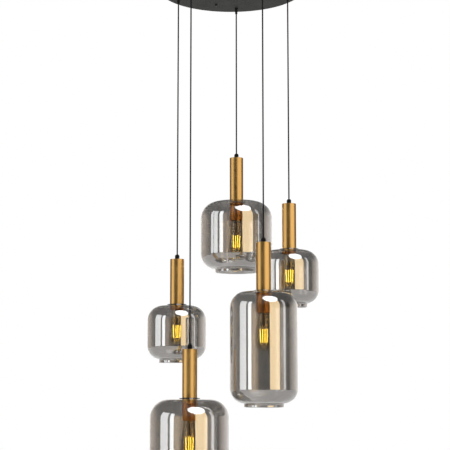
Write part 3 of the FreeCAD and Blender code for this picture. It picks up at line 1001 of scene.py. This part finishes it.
    def direction_angles(self, wiring: Wiring) -> tuple[bpy.types.NodeSocket, bpy.types.NodeSocket]:
        """Work out a direction's turn from the front of the lamp and its rise, in degrees.

        Args:
            wiring: the world's wiring.

        Returns:
            The turn and the rise.
        """
        direction = wiring.add("ShaderNodeTexCoord").outputs["Generated"]
        front, right = self.level_axes()
        ahead = wiring.turn("DOT_PRODUCT", direction, front).outputs["Value"]
        aside = wiring.turn("DOT_PRODUCT", direction, right).outputs["Value"]
        height = wiring.add("ShaderNodeSeparateXYZ", {"Vector": direction}).outputs["Z"]
        degrees = 180.0 / math.pi
        turn = wiring.calc("MULTIPLY", wiring.calc("ARCTAN2", aside, ahead), degrees)
        rise = wiring.calc("MULTIPLY", wiring.calc("ARCSINE", height), degrees)
        return turn, rise

    def room(self, wiring: Wiring, effects: Effects, turn: bpy.types.NodeSocket, rise: bpy.types.NodeSocket,
             faces: tuple[LampFace, ...], tones: tuple[Tone, ...]) -> bpy.types.NodeSocket:
        """Build what gloss mirrors: a room whose tone changes with the turn, and the lamps' faces on top.

        Args:
            wiring: the world's wiring.
            effects: the shared groups.
            turn: the direction's turn from the front, in degrees.
            rise: its rise.
            faces: the lamps' faces.
            tones: the room's tones, in order of turn.

        Returns:
            The colour of the room in that direction.
        """
        ramp = wiring.add("ShaderNodeValToRGB", {"Fac": wiring.calc("MULTIPLY_ADD", turn, 1 / 360.0, 0.5)})
        stops = ramp.color_ramp.elements
        for tone in tones[1:-1]:
            stops.new(tone.turn / 360.0 + 0.5)
        for stop, tone in zip(stops, tones):
            stop.color = tone.colour(self.tone_scale)
        walls = wiring.turn("MULTIPLY", ramp.outputs["Color"], (self.tone_scale,) * 3).outputs[0]
        colour = wiring.mix(wiring.ramp(rise, *self.ceiling_between), walls, self.ceiling)
        for face in faces:
            mask = Finish.group(wiring, effects.softbox, Turn=turn, Rise=rise, Turn_from=face.turn_from,
                                Turn_to=face.turn_to, Rise_from=face.rise_from, Rise_to=face.rise_to,
                                Softness=face.softness).outputs["Mask"]
            colour = wiring.mix(mask, colour, face.light)
        return colour

    def disc_mask(self, wiring: Wiring, disc: LampDisc) -> bpy.types.NodeSocket:
        """Build the mask of a round lamp overhead: 1 where the direction meets it on the plane one unit up.

        Args:
            wiring: the world's wiring.
            disc: the lamp.

        Returns:
            The mask.
        """
        direction = wiring.add("ShaderNodeTexCoord").outputs["Generated"]
        height = wiring.add("ShaderNodeSeparateXYZ", {"Vector": direction}).outputs["Z"]
        above = wiring.calc("MAXIMUM", height, self.disc_horizon)
        front, right = self.level_axes()
        offsets = []
        for axis, middle in ((right, disc.right), (front, disc.front)):
            along = wiring.turn("DOT_PRODUCT", direction, axis).outputs["Value"]
            offsets.append(wiring.calc("SUBTRACT", wiring.calc("DIVIDE", along, above), middle))
        aside, ahead = offsets
        ahead = wiring.calc("SUBTRACT", ahead, wiring.calc("MULTIPLY", aside, disc.slant))
        squares = []
        for offset, half in ((aside, disc.half_right), (ahead, disc.half_front)):
            share = wiring.calc("DIVIDE", offset, half)
            squares.append(wiring.calc("MULTIPLY", share, share))
        reach = wiring.calc("SQRT", wiring.calc("ADD", *squares))
        return wiring.ramp(reach, 1.0 - disc.softness, 1.0 + disc.softness, 1.0, 0.0)


# ============================================================================================ canopy
@dataclass
class Canopy:
    """The canopy with what is fixed to it."""

    relief_length: float = 18 * MM
    relief_root: float = 5.0 * MM
    relief_tip: float = 3.6 * MM
    relief_edge: float = 0.6 * MM
    relief_grooves: int = 4
    groove_steps: int = 4
    groove_depth: float = 0.45 * MM
    grooved_share: Pair = (0.18, 0.86)
    spigot: float = 4.0 * MM
    locknut: float = 7.0 * MM
    locknut_height: float = 4.0 * MM
    locknut_edge: float = 0.5 * MM
    wall: float = 1.5 * MM
    nut_radius: float = 4.25 * MM
    nut_height: float = 6.5 * MM
    nut_dome: float = 0.75
    nut_rim: float = 0.35 * MM
    nut_circle: float = 139.0 * MM
    nut_turn: float = 114.2
    nut_count: int = 3
    body: str = "canopy"

    def build(self, finishes: Finishes, axes: list[Pair]) -> None:
        """Dress the pan, the bracket and the terminal block, and make the reliefs and cap nuts.

        Args:
            finishes: the materials.
            axes: where the cords leave the canopy.
        """
        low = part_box("canopy_pan")[0].z
        dress_node("canopy_pan", finishes[Look.CANOPY])
        dress_node("ceiling_bracket", finishes[Look.ZINC])
        dress_node("terminal_block", finishes[Look.NYLON])
        reliefs = gathered([self.relief().moved(x, y, low) for x, y in axes])
        make_piece("strain_relief_boots", reliefs, finishes[Look.PLASTIC], self.body,
                   ("strain_reliefs",))
        nuts = gathered([self.locknut_shape().moved(x, y, low + self.wall) for x, y in axes])
        make_piece("strain_relief_locknuts", nuts, finishes[Look.PLASTIC], self.body,
                   ("strain_reliefs",), SMOOTH_BELOW_ON_NUTS)
        domes = gathered([self.cap_nut().moved(x, y, low) for x, y in self.nut_places()])
        make_piece("domed_cap_nuts", domes, finishes[Look.NUT], self.body, ("cap_nuts",))

    def relief(self) -> Surface:
        """Build a tapered boot with flex grooves and its spigot.

        Its radius falls evenly with the height, less depth/2 · (1 - cos) with one wave for each groove.

        Returns:
            The boot, with the canopy's lower face at z = 0.
        """
        share = np.linspace(*self.grooved_share, self.groove_steps * self.relief_grooves + 1)
        taper = self.relief_root + (self.relief_tip - self.relief_root) * share
        waves = FULL_TURN * self.relief_grooves * (share - share[0]) / (share[-1] - share[0])
        groove = self.groove_depth * (0.5 - 0.5 * np.cos(waves))
        body = np.column_stack((taper - groove, -share * self.relief_length))
        edge = self.relief_edge
        tip = -self.relief_length
        top = self.wall + self.locknut_height
        line = outline((0.0, top), (self.spigot, top), (self.spigot, 0.0), (self.relief_root - 0.3 * MM, 0.0),
                       (self.relief_root, -0.4 * MM), body, (self.relief_tip, tip + edge),
                       arc((self.relief_tip - edge, tip + edge), edge, 90, 180, 15.0), (0.0, tip))
        return lathe(line, 40, closed=False)

    def locknut_shape(self) -> Surface:
        """Build a hexagon nut round the spigot, with the top and bottom corners chamfered.

        Returns:
            The nut, with its lower face at z = 0.
        """
        outer, edge, height = self.locknut, self.locknut_edge, self.locknut_height
        line = outline((self.spigot, 0.0), (outer - edge, 0.0), (outer, edge), (outer, height - edge),
                       (outer - edge, height), (self.spigot, height))
        return lathe(line, 6, gap=NO_HELD_EDGES)

    def cap_nut(self) -> Surface:
        """Build a small domed nut: a washer face, a round side and a dome.

        Returns:
            The nut, with its upper face at z = 0.
        """
        side = self.nut_height - self.nut_radius * self.nut_dome
        barrel = self.nut_radius - self.nut_rim
        line = outline((0.0, 0.0), (self.nut_radius, 0.0), (self.nut_radius, -0.9 * MM), (barrel, -1.0 * MM),
                       (barrel, -side),
                       bend((barrel, -side), (barrel, -self.nut_height), (0.0, -self.nut_height)))
        return lathe(line, 36, closed=False)

    def nut_places(self) -> list[Pair]:
        """Work out the cap nuts' places on their circle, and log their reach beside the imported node's.

        Returns:
            Each nut's (x, y).
        """
        low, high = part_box("cap_nuts")
        count = self.nut_count
        turns = [math.radians(self.nut_turn + index * 360.0 / count) for index in range(count)]
        places = [(self.nut_circle * math.cos(turn), self.nut_circle * math.sin(turn)) for turn in turns]
        reach = max(place[0] for place in places) + self.nut_radius
        LOG.info("cap nuts reach %.4f, packed %.4f; y %.4f to %.4f", reach, high.x, low.y, high.y)
        return places


# ============================================================================================ pendants
@dataclass(frozen=True)
class ShadeForm:
    """The outline of a blown shade that its packed box doesn't give."""

    shoulder: float
    crown_rise: float
    foot: float
    neck: float
    neck_height: float


SMALL_FORM = ShadeForm(42.0 * MM, 2.5 * MM, 40.0 * MM, 50.0 * MM, 9.5 * MM)
LARGE_FORM = ShadeForm(50.0 * MM, 1.8 * MM, 47.0 * MM, 63.0 * MM, 9.2 * MM)
TALL_FORM = ShadeForm(42.0 * MM, 1.8 * MM, 40.0 * MM, 53.5 * MM, 9.2 * MM)


@dataclass
class Shade:
    """One blown shade, with the middle of the seat on its lip at the origin."""

    radius: float
    height: float
    form: ShadeForm
    wall: float = 2.5 * MM
    hole: float = 18.0 * MM
    lip: float = 28.0 * MM
    lip_height: float = 1.5 * MM
    lip_edge: float = 1.2 * MM
    lip_foot: float = 3.0 * MM
    hole_edge: float = 0.4 * MM
    land: float = 22.0 * MM
    fillet: float = 4.0 * MM
    sides: int = 144

    def side(self, inset: float, start: float) -> np.ndarray:
        """Work out one side of the wall, from the crown down to the neck's fillet.

        The crown is a shallow dome that is tangent to the shoulder's arc. Below the straight body the foot's
        arc turns in, and a small reversed arc leads into the neck.

        Args:
            inset: the distance inside the outer surface.
            start: the radius where the crown starts.

        Returns:
            An array of (r, z) rows.
        """
        form = self.form
        run = self.radius - form.shoulder
        slope = 2 * math.atan(form.crown_rise / run)
        crown = form.shoulder + run / math.sin(slope)
        dome = (0.0, -self.lip_height - crown)
        shoulder = (run, -self.lip_height - form.crown_rise - form.shoulder)
        foot = (self.radius - form.foot, -self.height + form.neck_height + form.foot)
        reach = form.foot + self.fillet
        across = form.neck + self.fillet - foot[0]
        drop = math.sqrt(reach**2 - across**2)
        turn = math.degrees(math.atan2(across, -drop))
        curl = (foot[0] + across, foot[1] - drop)
        first = math.degrees(math.asin(start / (crown - inset)))
        return outline(
            arc(dome, crown - inset, first, math.degrees(slope), 1.0),
            arc(shoulder, form.shoulder - inset, math.degrees(slope), 90.0),
            arc(foot, form.foot - inset, 90.0, turn),
            arc(curl, self.fillet + inset, turn + 180.0, 270.0, 10.0),
        )

    def surface(self) -> Surface:
        """Build the whole shell: lip, crown, shoulder, body, foot, neck, round rim, and the same inside.

        Returns:
            The shell.
        """
        outer = self.side(0.0, self.lip + self.lip_foot)
        inner = self.side(self.wall, self.land)
        half = self.wall / 2
        rim = (self.form.neck - half, -self.height + half)
        edge = self.lip_edge
        soft = self.hole_edge
        lip = outline(
            (self.hole, inner[0, 1] + soft),
            arc((self.hole + soft, -soft), soft, -90.0, 0.0, 20.0),
            arc((self.lip - edge, -edge), edge, 0.0, 80.0, 12.0),
        )
        lead = bend(tuple(lip[-1]), (self.lip + 0.3 * MM, outer[0, 1] + 0.1 * MM), tuple(outer[0]))
        line = outline(lip, lead, outer, arc(rim, half, 90.0, 270.0, 12.0), inner[::-1],
                       (self.hole + soft, inner[0, 1]))
        return lathe(line, self.sides, gap=0.8 * MM)


@dataclass
class Bulb:
    """A filament bulb, with the bottom of the sleeve at the origin."""

    cap_radius: float = 13.2 * MM
    cap_length: float = 21.0 * MM
    cap_recess: float = 5.0 * MM
    thread_pitch: float = 25.4 / 7 * MM
    thread_depth: float = 0.75 * MM
    thread_fade: float = 1.6 * MM
    cap_wall: float = 0.35 * MM
    cap_sides: int = 72
    cap_rows: int = 120
    throat: float = 12.0 * MM
    throat_rise: float = 3.0 * MM
    neck: float = 15.5 * MM
    radius: float = 25.0 * MM
    length: float = 102.0 * MM
    wall: float = 0.8 * MM
    filament_count: int = 4
    filament_turn: float = 22.0
    filament_radius: float = 1.15 * MM
    filament_top: Pair = (10.5 * MM, -44.0 * MM)
    filament_foot: Pair = (9.2 * MM, -80.0 * MM)
    mount_tip: float = -38.0 * MM
    pinch_top: float = -0.012
    pinch_run: float = 0.02
    pinch_share: float = 0.45
    rod_radius: float = 1.0 * MM
    bead_radius: float = 2.0 * MM
    wire: float = 0.3 * MM
    wire_arch: Pair = (2.0 * MM, -1.5 * MM)

    def cap(self) -> Surface:
        """Build the screw shell: radius = middle + depth/2 · cos(turn + z/pitch), with plain rims.

        Returns:
            The shell.
        """
        sides = self.cap_sides
        angles = np.arange(sides) * FULL_TURN / sides
        z = np.linspace(0.0, self.cap_length, self.cap_rows)
        fade = np.clip(np.minimum(z, self.cap_length - z) / self.thread_fade, 0.0, 1.0)
        wave = np.cos(angles[None, :] + FULL_TURN * z[:, None] / self.thread_pitch)
        outer = self.cap_radius - self.thread_depth / 2 + self.thread_depth / 2 * wave * fade[:, None]
        inner = np.full((2, sides), self.cap_radius - self.thread_depth - self.cap_wall)
        radii = np.vstack((inner[:1], outer, inner[1:]))
        heights = np.concatenate(([0.0], z, [self.cap_length])) - self.cap_recess
        points = ring_points(radii, heights, sides)
        return Surface(points, grid_faces(np.arange(len(points)).reshape(-1, sides), True))

    def envelope_side(self, inset: float) -> np.ndarray:
        """Work out one side of the envelope: a cone from the neck, and the round end that it is tangent to.

        Args:
            inset: the distance inside the outer surface.

        Returns:
            An array of (r, z) rows.
        """
        centre = self.radius - self.length
        span = math.hypot(self.neck, centre)
        slope = math.asin(self.radius / span) - math.atan2(self.neck, -centre)
        low = 90.0 - math.degrees(slope)
        waist = self.neck - inset / math.cos(slope)
        touch = arc((0.0, centre), self.radius - inset, low, low, 1.0)[:1]
        share = np.linspace(0.0, 1.0, 12)[:, None]
        cone = np.array((waist, 0.0)) * (1 - share) + touch * share
        return outline(cone, arc((0.0, centre), self.radius - inset, low, 180.0, 4.0))

    def throat_side(self, radius: float, foot: np.ndarray) -> np.ndarray:
        """Return the soft line from the throat, which has this radius, down and out to the neck."""
        return bend((radius, self.cap_recess + 0.5 * MM), (radius + 0.3 * MM, 1.5 * MM), foot)

    def envelope(self) -> Surface:
        """Build the glass envelope: neck, cone, round end, and the same inside.

        Returns:
            The envelope.
        """
        bore = self.throat - self.wall
        top = self.cap_recess + self.throat_rise
        outside = self.envelope_side(0.0)
        inside = self.envelope_side(self.wall)
        outside[-1, 0] = 0.0
        inside[-1, 0] = 0.0
        throat_outside = self.throat_side(self.throat, outside[0])
        throat_inside = self.throat_side(bore, inside[0])
        line = outline(outside[::-1], throat_outside[::-1], (self.throat, top), (bore, top), throat_inside,
                       inside)
        return lathe(line, 72, closed=False, gap=0.3 * MM)

    def stem(self) -> Surface:
        """Build the glass stem in the neck: flared at the root, waisted, and pinched flat towards its tip.

        Returns:
            The stem.
        """
        tip = self.mount_tip
        root = self.cap_recess
        line = outline((0.0, root), (10.8 * MM, root), (10.6 * MM, root - 1.0 * MM),
                       bend((6.0 * MM, root - 3.0 * MM), (3.4 * MM, root - 8.0 * MM), (3.2 * MM, -20.0 * MM)),
                       bend((3.2 * MM, -24.0 * MM), (2.4 * MM, tip + 6.0 * MM), (2.6 * MM, tip + 3.0 * MM)),
                       arc((1.4 * MM, tip + 1.2 * MM), 1.2 * MM, 90.0, 180.0, 15.0), (0.0, tip))
        solid = lathe(line, 32, closed=False)
        pinch = np.clip((self.pinch_top - solid.points[:, 2]) / self.pinch_run, 0.0, 1.0)
        solid.points[:, 1] *= 1.0 - self.pinch_share * pinch
        return solid

    def corner(self, ring: Pair, index: int) -> np.ndarray:
        """Return the place of one filament's end on a ring of (radius, height)."""
        angle = math.radians(self.filament_turn) + FULL_TURN * index / self.filament_count
        return np.array((ring[0] * math.cos(angle), ring[0] * math.sin(angle), ring[1]))

    def filaments(self) -> Surface:
        """Build the coated filaments: round sticks with rounded ends.

        Returns:
            All of them as one surface.
        """
        parts = []
        r = self.filament_radius
        for index in range(self.filament_count):
            top = self.corner(self.filament_top, index)
            foot = self.corner(self.filament_foot, index)
            length = float(np.linalg.norm(foot - top))
            line = outline((0.0, length), arc((0.0, length - r), r, 0.0, 90.0, 15.0)[1:],
                           arc((0.0, r), r, 90.0, 180.0, 15.0)[:-1], (0.0, 0.0))
            parts.append(lathe(line, 20, closed=False).laid(top, foot))
        return gathered(parts)

    def rod(self) -> Surface:
        """Build the dark rod in the stem, with a bead where the filaments' wires leave it.

        Returns:
            The rod.
        """
        tip = self.mount_tip - 1.0 * MM
        r, bead = self.rod_radius, self.bead_radius
        line = outline((0.0, self.cap_recess), (r, self.cap_recess), (r, tip + 4.0 * MM),
                       arc((0.0, tip + bead), bead, 30.0, 180.0, 15.0)[:-1], (0.0, tip))
        return lathe(line, 20, closed=False)

    def wires(self) -> Surface:
        """Build the filaments' wires: spokes from the stem's tip, one down the middle, spokes at its foot.

        Returns:
            All of them as one surface.
        """
        tip = np.array((0.0, 0.0, self.mount_tip + 1.0 * MM))
        end = np.array((0.0, 0.0, self.filament_foot[1]))
        parts = [tube(np.linspace(tip, end, 8), self.wire, 10)]
        spokes = tuple(zip((tip, end), (self.filament_top, self.filament_foot), self.wire_arch))
        for index in range(self.filament_count):
            for hub, ring, lift in spokes:
                spot = self.corner(ring, index)
                middle = (hub + spot) / 2 + np.array((0.0, 0.0, lift))
                parts.append(tube(bend(hub, middle, spot, 9), self.wire, 10))
        return gathered(parts)


@dataclass
class Pendant:
    """One pendant: cord, grip, sleeves, shade and bulb."""

    name: str
    form: ShadeForm
    grip_radius: float = 6.5 * MM
    grip_top: float = 4.6 * MM
    grip_length: float = 13.0 * MM
    grip_groove: float = 0.35 * MM
    grip_grooves: tuple[float, ...] = (3.0 * MM, 5.0 * MM, 7.0 * MM)
    sleeve_radius: float = 20.0 * MM
    sleeve_wall: float = 1.5 * MM
    sleeve_bore: float = 5.05 * MM
    sleeve_roof: float = 2.0 * MM
    collar_bore: float = 17.25 * MM
    collar_reach: float = 41.5 * MM
    collar_height: float = 5.0 * MM
    cord_radius: float = 2.0 * MM
    cord_lead: int = 6
    bulb: Bulb = field(default_factory=Bulb)

    def __post_init__(self) -> None:
        """Read the pendant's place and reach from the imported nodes."""
        low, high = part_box(self.node("upper_sleeve"))
        self.x, self.y = (low.x + high.x) / 2, (low.y + high.y) / 2
        self.sleeve_top = high.z
        self.sleeve_foot = low.z
        low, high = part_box(self.node("lower_sleeve"))
        self.clamp_top, self.sleeve_end = high.z, low.z
        low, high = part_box(self.node("glass_shade"))
        self.seat = high.z
        self.shade = Shade((high.x - low.x) / 2, high.z - low.z, self.form)
        low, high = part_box(self.node("cord"))
        self.cord_top, self.cord_foot = high.z, low.z

    def node(self, piece: str) -> str:
        """Return the name of one of this pendant's nodes."""
        return f"{self.name}_{piece}"

    def hang_cord(self, finishes: Finishes) -> None:
        """Hang the cord: a tube along a smooth line from its strain relief to its grip.

        Args:
            finishes: the materials.
        """
        length = self.cord_top - self.cord_foot
        lead = self.cord_lead * 2 * self.cord_radius
        heights = (self.cord_top, self.cord_top - lead, self.cord_top - length / 2, self.cord_foot + lead,
                   self.cord_foot)
        curve = bpy.data.curves.new(self.node("cord_line"), "CURVE")
        curve.dimensions = "3D"
        spline = curve.splines.new("NURBS")
        spline.points.add(len(heights) - 1)
        for point, height in zip(spline.points, heights):
            point.co = (self.x, self.y, height, 1.0)
        spline.order_u = 3
        spline.use_endpoint_u = True
        guide = bpy.data.objects.new(self.node("cord_line"), curve)
        bpy.context.scene.collection.objects.link(guide)
        bpy.context.view_layer.update()
        sampled = bpy.data.meshes.new_from_object(guide)
        path = np.array([vertex.co for vertex in sampled.vertices], float)
        bpy.data.objects.remove(guide)
        bpy.data.curves.remove(curve)
        bpy.data.meshes.remove(sampled)
        piece = make_piece(self.node("hanging_cord"), tube(path, self.cord_radius, 24), finishes[Look.CORD],
                           f"{self.name}_line", (self.node("cord"),))
        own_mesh(piece)

    def grip(self) -> Surface:
        """Build the grip: a round collar with fine grooves, a sloping shoulder and a softened lower edge.

        Returns:
            The grip, with its lower face at z = 0.
        """
        r = self.grip_radius
        floor = r - self.grip_groove
        rows: list[Pair] = []
        for middle in self.grip_grooves:
            rows += [(r, middle - 0.5 * MM), (floor, middle - 0.25 * MM), (floor, middle + 0.25 * MM),
                     (r, middle + 0.5 * MM)]
        top = self.grip_length
        line = outline((0.0, 0.0), (r - 0.3 * MM, 0.0), (r, 0.3 * MM), np.array(rows), (r, top - 3.0 * MM),
                       bend((r, top - 3.0 * MM), (self.grip_top + 0.4 * MM, top - 1.6 * MM),
                            (self.grip_top, top - 0.3 * MM)), (self.grip_top - 0.3 * MM, top), (0.0, top))
        return lathe(line, 40, closed=False)

    def upper_sleeve(self) -> Surface:
        """Build the upper sleeve: a drawn tube with a softly rounded top, closed round the stem.

        Returns:
            The sleeve, with its top at z = 0.
        """
        r, inner = self.sleeve_radius, self.sleeve_radius - self.sleeve_wall
        soft, fine = 0.8 * MM, 0.25 * MM
        foot = self.sleeve_foot - self.sleeve_top
        line = outline((self.sleeve_bore, 0.0), arc((r - soft, -soft), soft, 0.0, 90.0, 12.0),
                       arc((r - fine, foot + fine), fine, 90.0, 180.0, 30.0), (inner, foot),
                       (inner, -self.sleeve_roof), (self.sleeve_bore, -self.sleeve_roof))
        return lathe(line, 96, gap=0.3 * MM)

    def lower_sleeve(self) -> Surface:
        """Build the lower sleeve: a tube with softly rounded ends and a plain collar inside.

        Returns:
            The sleeve, with its lower end at z = 0.
        """
        r, inner = self.sleeve_radius, self.sleeve_radius - self.sleeve_wall
        soft, fine = 0.6 * MM, 0.25 * MM
        top = self.clamp_top - self.sleeve_end
        collar, collar_top = self.collar_bore, min(top, self.collar_reach)
        collar_foot = collar_top - self.collar_height
        line = outline((inner, soft), arc((inner + soft, soft), soft, 270.0, 180.0, 15.0),
                       arc((r - soft, soft), soft, 180.0, 90.0, 15.0),
                       arc((r - fine, top - fine), fine, 90.0, 0.0, 30.0), (inner, top), (inner, collar_top),
                       (collar, collar_top), (collar, collar_foot), (inner, collar_foot))
        return lathe(line, 96, gap=0.3 * MM)

    def build(self, finishes: Finishes) -> None:
        """Make the pendant's pieces below its cord, and dress the nodes that stay.

        Args:
            finishes: the materials.
        """
        head, bulb = f"{self.name}_pendant", f"{self.name}_bulb"
        top, end = self.sleeve_top, self.sleeve_end
        pieces = (
            ("grip", self.grip(), top, Look.PLASTIC, head, "black_plastic", "cord_grip"),
            ("sleeve_above", self.upper_sleeve(), top, Look.GOLD, head, "gold", "upper_sleeve"),
            ("sleeve_below", self.lower_sleeve(), end, Look.GOLD_WITH_PAINTED_SHADE, head, "gold", "lower_sleeve"),
            ("blown_shade", self.shade.surface(), self.seat, Look.SMOKE, head, "smoked_glass", "glass_shade"),
            ("screw_cap", self.bulb.cap(), end, Look.CAP, bulb, "bulb_cap", "bulb_cap"),
            ("bulb_envelope", self.bulb.envelope(), end, Look.AMBER, bulb, "amber_glass", "bulb_glass"),
            ("bulb_stem", self.bulb.stem(), end, Look.STEM, bulb, "amber_glass", "bulb_filament"),
            ("filament_sticks", self.bulb.filaments(), end, Look.PHOSPHOR, bulb, "filament", "bulb_filament"),
            ("bulb_rod", self.bulb.rod(), end, Look.ROD, bulb, "bulb_cap", "bulb_filament"),
            ("filament_wires", self.bulb.wires(), end, Look.WIRE, bulb, "bulb_cap", "bulb_filament"),
        )
        for piece, surface, height, look, body, slot, node in pieces:
            placed = surface.moved(self.x, self.y, height)
            make_piece(self.node(piece), placed, finishes[look], body, (self.node(node),))
        dress_node(self.node("lampholder"), finishes[Look.HOLDER])
        dress_node(self.node("gaskets"), finishes[Look.GASKET])
        dress_node(self.node("bulb_contact"), finishes[Look.INSULATOR])
        LOG.info("%s pendant built on body %s, with its bulb on %s", self.name, head, bulb)


def main() -> None:
    """Build the studio, the cords, the canopy and the five pendants."""
    logging.basicConfig(level=logging.INFO, format="%(name)s: %(message)s")
    bpy.context.scene.view_settings.view_transform = "Standard"
    effects = Effects()
    finishes = Finishes(effects)
    studio = Studio()
    studio.place_camera()
    forms = {"rear": LARGE_FORM, "left": SMALL_FORM, "low": LARGE_FORM, "tall": TALL_FORM,
             "right": SMALL_FORM}
    pendants = [Pendant(name, form) for name, form in forms.items()]
    for pendant in pendants:
        pendant.hang_cord(finishes)
    Canopy().build(finishes, [(pendant.x, pendant.y) for pendant in pendants])
    for pendant in pendants:
        pendant.build(finishes)
    studio.lay_floor()
    studio.hang_lamps()
    studio.surround(effects)


if __name__ == "__main__":
    main()
